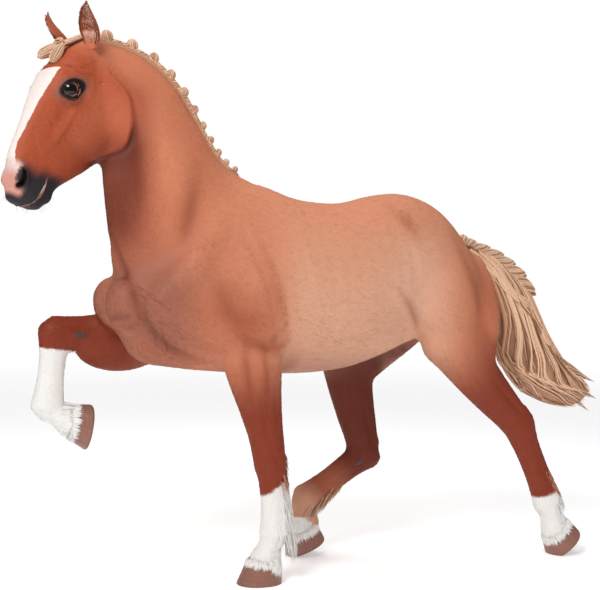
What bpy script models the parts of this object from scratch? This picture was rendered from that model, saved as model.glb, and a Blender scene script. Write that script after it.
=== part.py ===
"""A chestnut cob horse, life size, standing on three feet with one foreleg raised.

Blender 4.5, metres, +Z up. The horse faces -Y, so its left side is +X. The body is a union of
lofted masses (skull, neck, trunk, muscles and limb bones), blended into one form and then parted by
thin cuts into the pieces that a person would name.
"""

import math

import bmesh
import bpy
import numpy as np
from mathutils import Matrix, Vector

# ---------------------------------------------------------------- driving sizes
ORIGIN = Vector((0.0002, 0.0269, 0.0))  # moves the floor point under the middle of the box to 0, 0, 0
GAP = 0.0003  # between two pieces that meet
VOXEL = 0.012  # of the blended body, before its faces are thinned out

POLL = (1.022, 0.0, 2.028)  # forward, left, up: the top of the head, between the ears
HEAD_YAW = math.radians(22)  # the head looks a little to the left
HEAD_PITCH = math.radians(31.0)  # the face line, from the vertical
HEAD_SIZE = 1.03  # of the skull, against the distances given for it
EYE = 0.040  # radius of the eyeball
PLAITS = 11
CREST_HEIGHT = 0.016  # of the strip of hair that the plaits grow from
BODY_TRIANGLES = 3300
HEAD_TRIANGLES = 7000  # of the whole body, of which only the head is kept


def at(forward, left, up):
    """A point of the horse, from its distances forward, to the left and up."""
    return Vector((left, -forward, up)) - ORIGIN


# ---------------------------------------------------------------- lofts
def spline(rows, steps):
    """The rows and what lies between them, on a Catmull-Rom curve through them all."""
    rows = np.asarray(rows, float)
    padded = np.vstack([2 * rows[0] - rows[1], rows, 2 * rows[-1] - rows[-2]])
    out = []
    for i in range(1, len(padded) - 2):
        p0, p1, p2, p3 = padded[i - 1 : i + 3]
        for k in range(steps):
            t = k / steps
            out.append(
                0.5 * (2 * p1 + (p2 - p0) * t + (2 * p0 - 5 * p1 + 4 * p2 - p3) * t**2
                       + (3 * p1 - p0 - 3 * p2 + p3) * t**3)
            )
    out.append(rows[-1])
    return np.array(out)


def loft(rows, around=28, steps=4):
    """(points, faces) of a closed form through sections. A row is top point, bottom point, half width,
    how far up the widest level lies, and how square the section is above and below it."""
    flat = [[*top, *bottom, *rest] for top, bottom, *rest in rows]
    rings = spline(flat, steps)
    tops, bottoms = rings[:, :3], rings[:, 3:6]
    width, level, square_up, square_down = rings[:, 6:].T
    centres = bottoms + level[:, None] * (tops - bottoms)
    along = np.gradient(centres, axis=0)
    side = np.cross(tops - bottoms, along)
    side /= np.linalg.norm(side, axis=1)[:, None]
    turn = np.linspace(0, 2 * math.pi, around, endpoint=False)
    points = []
    for i in range(len(rings)):
        for a in turn:
            c, s = math.cos(a), math.sin(a)
            power = 2 / (square_up[i] if s > 0 else square_down[i])
            reach = (tops if s > 0 else bottoms)[i] - centres[i]
            points.append(
                centres[i] + side[i] * width[i] * math.copysign(abs(c) ** power, c)
                + reach * abs(s) ** power
            )
    faces = []
    for i in range(len(rings) - 1):
        for j in range(around):
            k = (j + 1) % around
            faces.append((i * around + j, i * around + k, (i + 1) * around + k, (i + 1) * around + j))
    last = (len(rings) - 1) * around
    faces.append(tuple(range(around))[::-1])
    faces.append(tuple(last + j for j in range(around)))
    return points, faces


def limb(path, rows, left=Vector((1, 0, 0)), **kwargs):
    """A loft along a path of points. A row is how far along it lies, its reach to the front and the back
    of the path, and its half width."""
    path = [Vector(p) for p in path]
    lengths = [0.0]
    for a, b in zip(path, path[1:]):
        lengths.append(lengths[-1] + (b - a).length)
    sections = []
    for share, front, back, width in rows:
        here = share * lengths[-1]
        i = max(k for k in range(len(path) - 1) if lengths[k] <= here + 1e-9 or k == 0)
        span = lengths[i + 1] - lengths[i]
        point = path[i].lerp(path[i + 1], (here - lengths[i]) / span)
        along = (path[i + 1] - path[i]).normalized()
        ahead = along.cross(left).normalized()
        sections.append((point + ahead * front, point - ahead * back, width,
                         back / (front + back), 2.1, 2.1))
    return loft(sections, **kwargs)


def ball(centre, radii, turn=None, detail=3):
    """(points, faces) of an ellipsoid, turned by a matrix."""
    mesh = bmesh.new()
    bmesh.ops.create_icosphere(mesh, subdivisions=detail, radius=1)
    turn = turn or Matrix.Identity(3)
    size = Matrix.Diagonal(Vector(radii))
    points = [Vector(centre) + turn @ (size @ v.co) for v in mesh.verts]
    faces = [tuple(v.index for v in f.verts) for f in mesh.faces]
    mesh.free()
    return points, faces


# ---------------------------------------------------------------- head
class HeadFrame:
    """Turns places on the head (down the face, out of the forehead, to the left) into points."""

    def __init__(self):
        facing = Vector((math.sin(HEAD_YAW), -math.cos(HEAD_YAW), 0))
        up = Vector((0, 0, 1))
        self.origin = at(*POLL)
        self.down = facing * math.sin(HEAD_PITCH) - up * math.cos(HEAD_PITCH)
        self.out = facing * math.cos(HEAD_PITCH) + up * math.sin(HEAD_PITCH)
        self.left = Vector((math.cos(HEAD_YAW), math.sin(HEAD_YAW), 0))

    def __call__(self, down, out, left=0.0):
        return self.origin + (self.down * down + self.out * out + self.left * left) * HEAD_SIZE

    def matrix(self):
        return Matrix((self.down, self.out, self.left)).transposed()


def cheek(head, side):
    """(points, faces) of the round, flat muscle of the jaw."""
    rows = []
    for left, radius in ((0.020, 0.140), (0.062, 0.146), (0.078, 0.138), (0.089, 0.118),
                         (0.096, 0.085), (0.099, 0.040)):
        rows.append((head(0.205, -0.196 + radius, left * side), head(0.205, -0.196 - radius, left * side),
                     radius, 0.5, 2.0, 2.0))
    return loft(rows, around=32, steps=2)


def head_masses(head):
    """The skull from the poll to the lips, with its cheeks, brows, nostrils and lips."""
    profile = (
        # down the face, forehead line, jaw line, half width, widest level, squareness up and down
        (-0.060, -0.050, -0.160, 0.048, 0.55, 2.0, 2.0),
        (0.010, -0.004, -0.215, 0.074, 0.62, 2.2, 2.0),
        (0.085, 0.026, -0.270, 0.090, 0.72, 2.5, 1.9),
        (0.170, 0.042, -0.305, 0.098, 0.76, 2.9, 1.8),
        (0.260, 0.044, -0.322, 0.084, 0.72, 2.6, 1.9),
        (0.340, 0.036, -0.298, 0.070, 0.64, 2.3, 2.1),
        (0.415, 0.026, -0.256, 0.061, 0.58, 2.2, 2.3),
        (0.490, 0.016, -0.211, 0.057, 0.54, 2.3, 2.3),
        (0.545, -0.010, -0.196, 0.057, 0.52, 2.4, 2.3),
        (0.590, -0.036, -0.186, 0.052, 0.50, 2.3, 2.2),
        (0.618, -0.072, -0.158, 0.034, 0.50, 2.0, 2.0),
    )
    rows = [(head(d, top), head(d, low), *rest) for d, top, low, *rest in profile]
    masses = [loft(rows)]
    turn = head.matrix()
    masses.append(ball(head(0.612, -0.085), (0.024, 0.042, 0.042), turn))  # upper lip
    masses.append(ball(head(0.574, -0.166), (0.038, 0.026, 0.036), turn))  # lower lip
    masses.append(ball(head(0.540, -0.190), (0.034, 0.022, 0.030), turn))  # chin
    for side in (1, -1):
        masses.append(cheek(head, side))
        masses.append(ball(head(0.205, -0.022, 0.066 * side), (0.062, 0.040, 0.040), turn))  # brow
        masses.append(ball(head(0.545, -0.050, 0.034 * side), (0.046, 0.036, 0.028), turn))  # nostril
        masses.append(ball(head(0.060, -0.055, 0.050 * side), (0.062, 0.055, 0.040), turn))  # temple
        masses.append(limb([head(0.250, -0.080, 0.072 * side), head(0.395, -0.075, 0.048 * side)],
                           ((0.0, 0.020, 0.026, 0.018), (1.0, 0.012, 0.016, 0.013)),
                           left=head.left, around=12))  # the ridge below the eye
    return masses


# ---------------------------------------------------------------- neck and trunk
def neck_masses():
    """The neck, from the poll and throat to the withers and breast."""
    sections = (
        # crest (forward, up), throat (forward, up), half width, widest level, squareness
        ((0.945, 2.018), (0.915, 1.790), 0.072, 0.62, 2.0, 1.8),
        ((0.850, 2.018), (0.918, 1.640), 0.078, 0.58, 1.9, 1.8),
        ((0.750, 1.982), (0.912, 1.530), 0.088, 0.52, 1.8, 1.9),
        ((0.640, 1.892), (0.900, 1.420), 0.104, 0.45, 1.8, 2.0),
        ((0.542, 1.745), (0.885, 1.310), 0.122, 0.42, 1.8, 2.1),
        ((0.440, 1.598), (0.870, 1.200), 0.145, 0.40, 1.7, 2.2),
        ((0.300, 1.525), (0.830, 1.060), 0.165, 0.42, 1.7, 2.2),
    )
    rows = [(at(c[0], 0, c[1]), at(t[0], 0, t[1]), *rest) for c, t, *rest in sections]
    return [loft(rows)]


def trunk_masses():
    """The barrel from the breast to the buttocks."""
    sections = (
        # forward, back line, belly line, half width, widest level, squareness up and down
        (0.852, 1.180, 0.960, 0.080, 0.50, 2.0, 2.0),
        (0.780, 1.300, 0.850, 0.160, 0.50, 2.0, 2.1),
        (0.640, 1.420, 0.816, 0.200, 0.48, 1.9, 2.2),
        (0.460, 1.520, 0.795, 0.220, 0.47, 1.8, 2.2),
        (0.300, 1.528, 0.785, 0.238, 0.45, 1.7, 2.2),
        (0.130, 1.474, 0.780, 0.275, 0.45, 1.9, 2.2),
        (-0.050, 1.462, 0.795, 0.300, 0.46, 2.1, 2.2),
        (-0.200, 1.496, 0.835, 0.290, 0.48, 2.2, 2.2),
        (-0.340, 1.506, 0.890, 0.265, 0.50, 2.2, 2.1),
        (-0.480, 1.450, 0.960, 0.232, 0.52, 2.1, 2.1),
        (-0.600, 1.314, 1.020, 0.185, 0.52, 2.1, 2.0),
        (-0.690, 1.195, 1.060, 0.110, 0.50, 2.0, 2.0),
    )
    rows = [(at(f, 0, top), at(f, 0, low), *rest) for f, top, low, *rest in sections]
    masses = [loft(rows)]
    for side in (1, -1):
        masses.append(ball(at(0.832, 0.085 * side, 1.065), (0.085, 0.090, 0.108)))  # breast
    return masses


# ---------------------------------------------------------------- limbs
class Leg:
    """The joints of one leg, from forward, left and up. The toe is the way that the hoof points, and the
    feather is how far the long hair starts above the fetlock and stands out behind it."""

    def __init__(self, toe, feather, **joints):
        self.fore = "elbow" in joints
        self.toe = (at(*toe) - at(0, 0, 0)).normalized()
        self.feather = feather
        for joint, place in joints.items():
            setattr(self, joint, at(*place))
        self.side = 1 if self.sole.x > -ORIGIN.x else -1
        self.knee_or_hock = self.knee if self.fore else self.hock


FORE_LEFT = dict(
    toe=(1, 0, 0), feather=(0.16, 0.015),
    withers=(0.36, 0.09, 1.42), point=(0.74, 0.165, 1.06), elbow=(0.365, 0.185, 0.915),
    knee=(0.298, 0.175, 0.462), fetlock=(0.276, 0.168, 0.182), coronet=(0.316, 0.165, 0.088),
    sole=(0.327, 0.165, -0.014),
)
FORE_RIGHT = dict(
    toe=(-0.3, 0, -1), feather=(0.05, 0.004),
    withers=(0.38, -0.09, 1.42), point=(0.76, -0.165, 1.06), elbow=(0.600, -0.185, 0.905),
    knee=(1.048, -0.180, 0.945), fetlock=(1.084, -0.170, 0.660), coronet=(0.990, -0.165, 0.598),
    sole=(0.916, -0.160, 0.586),
)
HIND_LEFT = dict(
    toe=(0.7, 0, -1), feather=(0.06, 0.012),
    hip=(-0.47, 0.13, 1.25), buttock=(-0.66, 0.09, 1.16), stifle=(-0.425, 0.20, 0.92),
    hock=(-0.825, 0.175, 0.545), fetlock=(-0.965, 0.185, 0.215), coronet=(-1.005, 0.185, 0.105),
    sole=(-1.060, 0.185, 0.040),
)
HIND_RIGHT = dict(
    toe=(0.55, 0, -1), feather=(0.10, 0.010),
    hip=(-0.45, -0.13, 1.25), buttock=(-0.66, -0.09, 1.16), stifle=(-0.15, -0.20, 0.90),
    hock=(-0.278, -0.172, 0.408), fetlock=(0.002, -0.170, 0.236), coronet=(0.014, -0.170, 0.108),
    sole=(-0.018, -0.170, 0.034),
)

FOREARM = (
    # share of the bone, reach to the front, reach to the back, half width
    (-0.10, 0.080, 0.080, 0.050), (0.05, 0.140, 0.100, 0.074), (0.25, 0.130, 0.088, 0.076),
    (0.50, 0.102, 0.074, 0.064), (0.75, 0.076, 0.068, 0.053), (0.92, 0.068, 0.066, 0.053),
    (1.04, 0.066, 0.058, 0.051),
)
FORE_CANNON = (
    (-0.16, 0.040, 0.040, 0.036), (-0.04, 0.065, 0.064, 0.054), (0.12, 0.058, 0.064, 0.050),
    (0.30, 0.049, 0.060, 0.043), (0.60, 0.046, 0.062, 0.041), (0.85, 0.052, 0.070, 0.046),
    (1.00, 0.058, 0.074, 0.051), (1.10, 0.036, 0.044, 0.036),
)
GASKIN = (
    (-0.12, 0.050, 0.090, 0.060), (0.02, 0.088, 0.150, 0.085), (0.20, 0.084, 0.140, 0.088),
    (0.42, 0.084, 0.116, 0.072), (0.65, 0.078, 0.098, 0.056), (0.85, 0.068, 0.084, 0.050),
    (1.00, 0.064, 0.070, 0.049), (1.10, 0.030, 0.050, 0.036),
)
HIND_CANNON = (
    (-0.18, 0.030, 0.060, 0.034), (-0.05, 0.066, 0.078, 0.051), (0.10, 0.064, 0.068, 0.050),
    (0.28, 0.055, 0.062, 0.044), (0.60, 0.050, 0.064, 0.041), (0.86, 0.054, 0.070, 0.046),
    (1.00, 0.060, 0.066, 0.050), (1.10, 0.036, 0.040, 0.036),
)
PASTERN = (
    (-0.20, 0.040, 0.046, 0.040), (0.10, 0.050, 0.058, 0.048), (0.50, 0.044, 0.046, 0.044),
    (1.00, 0.058, 0.056, 0.058), (1.15, 0.056, 0.056, 0.056),
)


LEGS = {
    "fore_left": Leg(**FORE_LEFT),
    "fore_right": Leg(**FORE_RIGHT),
    "hind_left": Leg(**HIND_LEFT),
    "hind_right": Leg(**HIND_RIGHT),
}


def leg_masses(leg):
    return fore_masses(leg) if leg.fore else hind_masses(leg)


def fore_masses(leg):
    """Shoulder blade, upper arm and the leg below it, to the coronet."""
    out = leg.side
    elbow_back = leg.elbow + Vector((0, 0.05, 0.03))
    lifted = [ball(at(0.790, -0.185, 0.885), (0.078, 0.180, 0.098))] if leg.knee.z > leg.elbow.z else []
    return lifted + [
        limb([leg.withers, leg.point], ((0.0, 0.06, 0.10, 0.04), (0.3, 0.10, 0.12, 0.065),
             (0.65, 0.10, 0.12, 0.080), (0.95, 0.08, 0.09, 0.080), (1.08, 0.05, 0.05, 0.050))),
        limb([leg.point, leg.elbow], ((-0.1, 0.06, 0.05, 0.05), (0.1, 0.09, 0.08, 0.075),
             (0.6, 0.10, 0.10, 0.075), (1.1, 0.07, 0.08, 0.060))),
        limb([leg.withers + Vector((0.02 * out, 0.12, -0.14)), elbow_back],
             ((0.0, 0.08, 0.06, 0.04), (0.4, 0.14, 0.10, 0.065), (0.75, 0.13, 0.09, 0.070),
              (1.05, 0.06, 0.05, 0.045))),
        limb([leg.elbow, leg.knee], FOREARM),
        limb([leg.knee, leg.fetlock], FORE_CANNON),
        limb([leg.fetlock, leg.coronet], PASTERN),
    ]


def hind_masses(leg):
    """Croup, thigh, gaskin and the leg below it, to the coronet."""
    flank = leg.hip + Vector((0.0, -0.20, 0.06))
    gaskin_back = leg.stifle.lerp(leg.hock, 0.38) + Vector((0, 0.05, 0.02))
    return [
        limb([leg.hip + Vector((0, -0.06, 0.12)), leg.hip, leg.stifle],
             ((0.0, 0.08, 0.03, 0.04), (0.3, 0.16, 0.13, 0.105), (0.6, 0.17, 0.18, 0.120),
              (0.9, 0.12, 0.15, 0.095), (1.08, 0.06, 0.08, 0.060))),
        limb([leg.buttock + Vector((0, 0, 0.10)), leg.buttock, gaskin_back],
             ((0.0, 0.08, 0.00, 0.04), (0.25, 0.12, 0.06, 0.085), (0.55, 0.14, 0.08, 0.100),
              (0.85, 0.10, 0.06, 0.075), (1.0, 0.07, 0.05, 0.055))),
        limb([flank, leg.stifle], ((0.0, 0.03, 0.08, 0.05), (0.4, 0.05, 0.10, 0.07),
             (0.8, 0.07, 0.10, 0.08), (1.05, 0.05, 0.07, 0.06))),
        limb([leg.stifle, leg.hock], GASKIN),
        limb([leg.hock, leg.fetlock], HIND_CANNON),
        limb([leg.fetlock, leg.coronet], PASTERN),
    ]


# ---------------------------------------------------------------- blending
def join(masses, name):
    """One mesh object of all the masses, still overlapping."""
    points, faces = [], []
    for mass_points, mass_faces in masses:
        start = len(points)
        points += [tuple(p) for p in mass_points]
        faces += [tuple(start + i for i in f) for f in mass_faces]
    mesh = bpy.data.meshes.new(name)
    mesh.from_pydata(points, [], faces)
    work = bmesh.new()
    work.from_mesh(mesh)
    bmesh.ops.recalc_face_normals(work, faces=work.faces)
    bmesh.ops.triangulate(work, faces=work.faces[:])
    work.to_mesh(mesh)
    work.free()
    obj = bpy.data.objects.new(name, mesh)
    bpy.context.scene.collection.objects.link(obj)
    return obj


def evaluated(obj):
    """A new mesh of the object with its modifiers applied."""
    graph = bpy.context.evaluated_depsgraph_get()
    return bpy.data.meshes.new_from_object(obj.evaluated_get(graph))


def fused(masses, voxel, name):
    """The masses as one closed skin of small squares."""
    obj = join(masses, name)
    remesh = obj.modifiers.new("fuse", "REMESH")
    remesh.mode = "VOXEL"
    remesh.voxel_size = voxel
    mesh = evaluated(obj)
    obj.modifiers.clear()
    obj.data = mesh
    return obj


def fill_strength(co):
    """How much of each crease is filled: little on the head, and all of it on the body."""
    head = HeadFrame()
    away = np.linalg.norm(co - np.array(head(0.30, -0.14)), axis=1)
    return 0.10 + 0.90 * np.clip((away - 0.30) / 0.22, 0, 1)


def relax(mesh, fill_steps, smooth_steps, fill=0.5, smooth=0.35):
    """Fills the creases between the masses, which leaves what bulges as it is, then evens all of it."""
    count = len(mesh.vertices)
    co = np.empty(count * 3, np.float32)
    mesh.vertices.foreach_get("co", co)
    co = co.reshape(-1, 3).astype(float)
    ends = np.empty(len(mesh.edges) * 2, np.int32)
    mesh.edges.foreach_get("vertices", ends)
    a, b = ends.reshape(-1, 2).T
    degree = np.bincount(a, minlength=count) + np.bincount(b, minlength=count)

    def pull(values):
        total = np.empty_like(values)
        for k in range(values.shape[1]):
            column = values[:, k]
            total[:, k] = np.bincount(a, column[b], count) + np.bincount(b, column[a], count)
        return total / degree[:, None] - values

    normals = np.empty(count * 3, np.float32)
    strength = fill_strength(co)[:, None]
    for step in range(fill_steps):
        if step % 10 == 0:
            mesh.vertices.foreach_set("co", co.astype(np.float32).ravel())
            mesh.update()
            mesh.vertices.foreach_get("normal", normals)
            facing = normals.reshape(-1, 3).astype(float)
        rise = (pull(co) * facing).sum(1)
        co += fill * strength * np.clip(rise, 0, None)[:, None] * facing
    for step in range(smooth_steps):
        co += smooth * pull(co)
        co -= smooth * 1.03 * pull(co)
        co += 0.12 * pull(co)
    mesh.vertices.foreach_set("co", co.astype(np.float32).ravel())
    mesh.update()


def body_masses(with_feathers=True):
    """Everything that is blended into the body."""
    head = HeadFrame()
    masses = head_masses(head) + neck_masses() + trunk_masses()
    for leg in LEGS.values():
        masses += leg_masses(leg)
        if with_feathers:
            masses += feather_masses(leg)
    return masses


# ---------------------------------------------------------------- hooves, ears and eyes
def hoof(leg, around=20):
    """(points, faces) of a hoof, from the coronet to a sole that is cut level where it meets the floor."""
    axis = (leg.sole - leg.coronet).normalized()
    left = Vector((1, 0, 0))
    toe = left.cross(axis).normalized()
    if toe.dot(leg.toe) < 0:
        toe.negate()
    height = (leg.sole - leg.coronet).length
    rows = (
        # share of the height, reach to the toe, reach to the heel, half width
        (0.00, 0.056, 0.064, 0.057), (0.10, 0.065, 0.071, 0.062), (0.50, 0.079, 0.077, 0.069),
        (0.92, 0.094, 0.080, 0.075), (1.00, 0.092, 0.076, 0.072),
    )
    sections = []
    for share, front, back, width in rows:
        point = leg.coronet + axis * (share * height)
        sections.append((point + toe * front, point - toe * back, width,
                         back / (front + back), 2.1, 2.3))
    return loft(sections, around=around, steps=1)


EAR_TIPS = {1: (-0.082, 0.094, 0.120), -1: (-0.086, 0.076, -0.138)}  # down, out, left
EAR_BENDS = {1: 0.000, -1: 0.014}  # how far the middle of each ear leans forward
EAR_OPENINGS = {1: 0.30, -1: -0.95}  # how far to the left each cup opens, for one part out of the forehead
EAR_ROWS = (
    # share of the length, half width, depth of the cup, thickness, lean of the middle
    (-0.10, 0.028, 0.022, 0.016, -0.004), (0.05, 0.037, 0.036, 0.012, -0.004),
    (0.25, 0.046, 0.042, 0.007, 0.000), (0.50, 0.044, 0.036, 0.0055, 0.004),
    (0.75, 0.029, 0.023, 0.0050, 0.006), (0.93, 0.011, 0.010, 0.0045, 0.001),
    (1.00, 0.004, 0.004, 0.0040, -0.004),
)


class EarFrame:
    """Where an ear starts, the way up it, the way that its cup opens, and the way across it."""

    def __init__(self, head, side):
        self.base = head(0.018, -0.022, 0.078 * side)
        self.up = head(*EAR_TIPS[side]) - self.base
        self.length = self.up.length
        self.up.normalize()
        self.open_to = (head(0, 1.0, EAR_OPENINGS[side]) - head(0, 0)).normalized()
        self.open_to = (self.open_to - self.up * self.open_to.dot(self.up)).normalized()
        self.across = self.up.cross(self.open_to)
        self.bend = EAR_BENDS[side]

    def middle(self, share, lean):
        lean += self.bend * math.sin(math.pi * max(0.0, share))
        return self.base + self.up * (share * self.length) + self.open_to * lean


def ear(head, side, around=7, steps=2):
    """(points, faces) of a cupped ear: crescents that narrow to the tip."""
    place = EarFrame(head, side)
    rows = spline(EAR_ROWS, steps)
    points = []
    for share, wide, deep, thick, lean in rows:
        middle = place.middle(share, lean)
        for skin in (0.0, thick):
            for k in range(around):
                angle = math.pi * (k / (around - 1) - 0.5) * (1 if skin == 0.0 else -1)
                reach = wide - skin
                depth = deep - skin
                points.append(middle + place.across * (reach * math.sin(angle))
                              - place.open_to * (depth * math.cos(angle)))
    ring = 2 * around
    faces = []
    for i in range(len(rows) - 1):
        for j in range(ring):
            k = (j + 1) % ring
            faces.append((i * ring + j, i * ring + k, (i + 1) * ring + k, (i + 1) * ring + j))
    for start, flip in ((0, True), ((len(rows) - 1) * ring, False)):
        for j in range(around - 1):
            quad = (start + j, start + j + 1, start + ring - 2 - j, start + ring - 1 - j)
            faces.append(quad[::-1] if flip else quad)
    return points, faces


def eye_centre(head, side):
    return head(0.200, -0.034, 0.0775 * side)


# ---------------------------------------------------------------- mane, forelock and tail
CREST = (
    # forward, up: the line that the mane grows from
    (0.960, 2.032), (0.905, 2.034), (0.850, 2.024), (0.800, 2.006), (0.750, 1.981), (0.700, 1.948),
    (0.647, 1.895), (0.595, 1.830), (0.548, 1.750), (0.500, 1.673), (0.445, 1.603), (0.380, 1.556),
)


def crest_line(samples):
    """Points along the crest, evenly apart, with the directions along it and out of it."""
    line = spline([(f, u) for f, u in CREST], 12)
    lengths = np.concatenate([[0], np.cumsum(np.linalg.norm(np.diff(line, axis=0), axis=1))])
    out = []
    for share in samples:
        where = share * lengths[-1]
        f = np.interp(where, lengths, line[:, 0])
        u = np.interp(where, lengths, line[:, 1])
        ahead = np.interp(where + 0.01, lengths, line[:, 0]) - np.interp(where - 0.01, lengths, line[:, 0])
        rise = np.interp(where + 0.01, lengths, line[:, 1]) - np.interp(where - 0.01, lengths, line[:, 1])
        along = Vector((0, -ahead, rise)).normalized()
        up_out = Vector((1, 0, 0)).cross(along).normalized()
        if up_out.z < 0:
            up_out.negate()
        out.append((at(f, 0, u), along, up_out))
    return out


def crest_taper(share):
    """How full the strip of hair is, at a share of the way from the poll to the withers."""
    return 0.35 + 0.65 * math.sin(math.pi * min(1.0, 0.12 + 0.80 * share))


def mane_crest():
    """(points, faces) of the strip of hair that the plaits grow from."""
    rows = []
    shares = np.linspace(0.0, 1.0, 15)
    for share, (point, along, out) in zip(shares, crest_line(shares)):
        taper = crest_taper(share)
        rows.append((point + out * CREST_HEIGHT * taper, point - out * 0.020, 0.017 * taper + 0.004,
                     0.45, 2.2, 2.2))
    return loft(rows, around=10, steps=1)


class PlaitPlace:
    """Where a button plait sits: its centre and foot, its size, and the ways along and out of the crest."""

    def __init__(self, point, along, out, size, crest_height):
        self.centre = point + out * (0.014 + 0.15 * size)
        self.foot = point + out * (crest_height + GAP)
        self.size = size
        self.along = along
        self.out = out


def plait_places():
    """The places of the plaits, from the poll to the withers."""
    places = []
    order = np.linspace(0.0, 1.0, PLAITS)
    shares = 0.075 + 0.900 * order * (1.38 - 0.38 * order)
    for i, (point, along, out) in enumerate(crest_line(shares)):
        size = 0.0250 - 0.0120 * order[i]
        places.append(PlaitPlace(point, along, out, size, CREST_HEIGHT * crest_taper(shares[i])))
    return places


def plait(place):
    """(points, faces) of one plait, rolled up into a button."""
    turn = Matrix((place.along, place.out, Vector((1, 0, 0)))).transposed()
    size = place.size
    return ball(place.centre, (size * 0.92, size, size * 0.86), turn, detail=2)


FORELOCK_BRAID = ((-0.034, -0.023, 0.003), (0.004, 0.004, 0.002), (0.042, 0.031, -0.002))
FORELOCK_LEAVES = (
    # down, out and left of a leaf's start, middle and end; half height; half width
    (((0.042, 0.034, -0.008), (0.086, 0.050, -0.022), (0.128, 0.072, -0.034)), 0.017, 0.022),
    (((0.044, 0.034, 0.004), (0.088, 0.040, 0.010), (0.132, 0.040, 0.014)), 0.017, 0.026),
    (((0.042, 0.034, -0.014), (0.076, 0.047, -0.048), (0.100, 0.052, -0.074)), 0.016, 0.020),
)


def forelock_masses(head):
    """The braid from between the ears to the forehead, its knot, and the leaf-shaped loops from the knot."""
    masses = [limb([head(*p) for p in FORELOCK_BRAID],
                   ((0.0, 0.010, 0.020, 0.018), (0.5, 0.012, 0.020, 0.020), (1.0, 0.014, 0.016, 0.020)),
                   left=head.left),
              ball(head(0.044, 0.034, -0.004), (0.020, 0.018, 0.022), head.matrix())]
    for path, high, wide in FORELOCK_LEAVES:
        masses.append(limb([head(*p) for p in path],
                           ((0.0, 0.5 * high, 0.5 * high, 0.5 * wide), (0.30, 0.9 * high, 0.9 * high, 0.9 * wide),
                            (0.62, high, high, wide), (0.88, 0.7 * high, 0.7 * high, 0.7 * wide),
                            (1.0, 0.25 * high, 0.25 * high, 0.25 * wide)), left=head.left))
    return masses


TAIL = (
    # upper edge (forward, up), lower edge (forward, up), half width
    ((-0.610, 1.335), (-0.640, 1.240), 0.040), ((-0.690, 1.300), (-0.715, 1.200), 0.052),
    ((-0.832, 1.238), (-0.760, 1.100), 0.062), ((-0.962, 1.122), (-0.800, 0.930), 0.076),
    ((-1.074, 0.908), (-0.840, 0.790), 0.088), ((-1.170, 0.785), (-0.925, 0.695), 0.088),
    ((-1.268, 0.715), (-1.065, 0.618), 0.072), ((-1.325, 0.665), (-1.215, 0.580), 0.042),
)
TAIL_TIPS = (
    # where a lock leaves the tail and where it ends (forward, left, up), and its thickness
    ((-1.130, 0.000, 0.790), (-1.345, 0.000, 0.695), 0.036),
    ((-1.140, 0.000, 0.730), (-1.350, 0.010, 0.620), 0.042),
    ((-1.100, 0.030, 0.720), (-1.290, 0.030, 0.572), 0.045),
    ((-1.050, 0.010, 0.730), (-1.180, 0.010, 0.590), 0.045),
    ((-0.980, 0.030, 0.760), (-1.060, 0.020, 0.610), 0.040),
    ((-0.930, 0.000, 0.780), (-0.950, 0.000, 0.660), 0.030),
)


def tail_masses():
    """The fall of the tail, with the locks that stand out at its end."""
    masses = [loft([(at(a[0], 0, a[1]), at(b[0], 0, b[1]), width, 0.5, 2.1, 2.1) for a, b, width in TAIL])]
    for start, end, thick in TAIL_TIPS:
        a, b = at(*start), at(*end)
        masses.append(limb([a, a.lerp(b, 0.5) + Vector((0, -0.01, -0.015)), b],
                           ((0.0, thick, thick, thick), (0.6, thick * 0.75, thick * 0.75, thick * 0.7),
                            (1.0, 0.008, 0.008, 0.008)), around=14))
    return masses


def feather_masses(leg):
    """The long hair behind the fetlock and round the coronet."""
    axis = (leg.fetlock - leg.knee_or_hock).normalized()
    back = Vector((1, 0, 0)).cross(axis).normalized()
    if back.dot(leg.toe) > 0:
        back.negate()
    heel = leg.coronet - leg.toe * 0.070
    start = leg.fetlock - axis * leg.feather[0] + back * 0.045
    middle = leg.fetlock + back * (0.060 + leg.feather[1])
    return [
        limb([start, middle, heel],
             ((0.0, 0.014, 0.014, 0.020), (0.35, 0.026, 0.026, 0.030), (0.7, 0.030, 0.030, 0.038),
              (1.0, 0.016, 0.016, 0.040)), around=16),
        limb([leg.fetlock, leg.coronet, leg.coronet.lerp(leg.sole, 0.25)],
             ((0.3, 0.050, 0.050, 0.048), (0.75, 0.062, 0.062, 0.062), (1.0, 0.068, 0.070, 0.068))),
    ]


# ---------------------------------------------------------------- pieces
SLOTS = {
    "coat": ((0.33, 0.12, 0.055, 1), 0.6),
    "flaxen_hair": ((0.62, 0.42, 0.25, 1), 0.55),
    "hoof_horn": ((0.20, 0.10, 0.075, 1), 0.5),
    "eye_gloss": ((0.02, 0.01, 0.008, 1), 0.05),
}


def material(slot):
    found = bpy.data.materials.get(slot)
    if found:
        return found
    color, rough = SLOTS[slot]
    made = bpy.data.materials.new(slot)
    made.use_nodes = True
    shader = made.node_tree.nodes["Principled BSDF"]
    shader.inputs["Base Color"].default_value = color
    shader.inputs["Roughness"].default_value = rough
    return made


def node(obj, name, slot, home):
    """Names the object, gives it its material and puts it in the horse's collection."""
    obj.name = name
    obj.data.name = name
    obj.data.materials.clear()
    obj.data.materials.append(material(slot))
    for old in list(obj.users_collection):
        old.objects.unlink(obj)
    home.objects.link(obj)
    return obj


def thinned(obj, triangles):
    """The same form in fewer faces."""
    decimate = obj.modifiers.new("thin", "DECIMATE")
    count = sum(len(p.vertices) - 2 for p in obj.data.polygons)
    decimate.ratio = triangles / count
    mesh = evaluated(obj)
    obj.modifiers.clear()
    obj.data = mesh
    return obj


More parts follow.
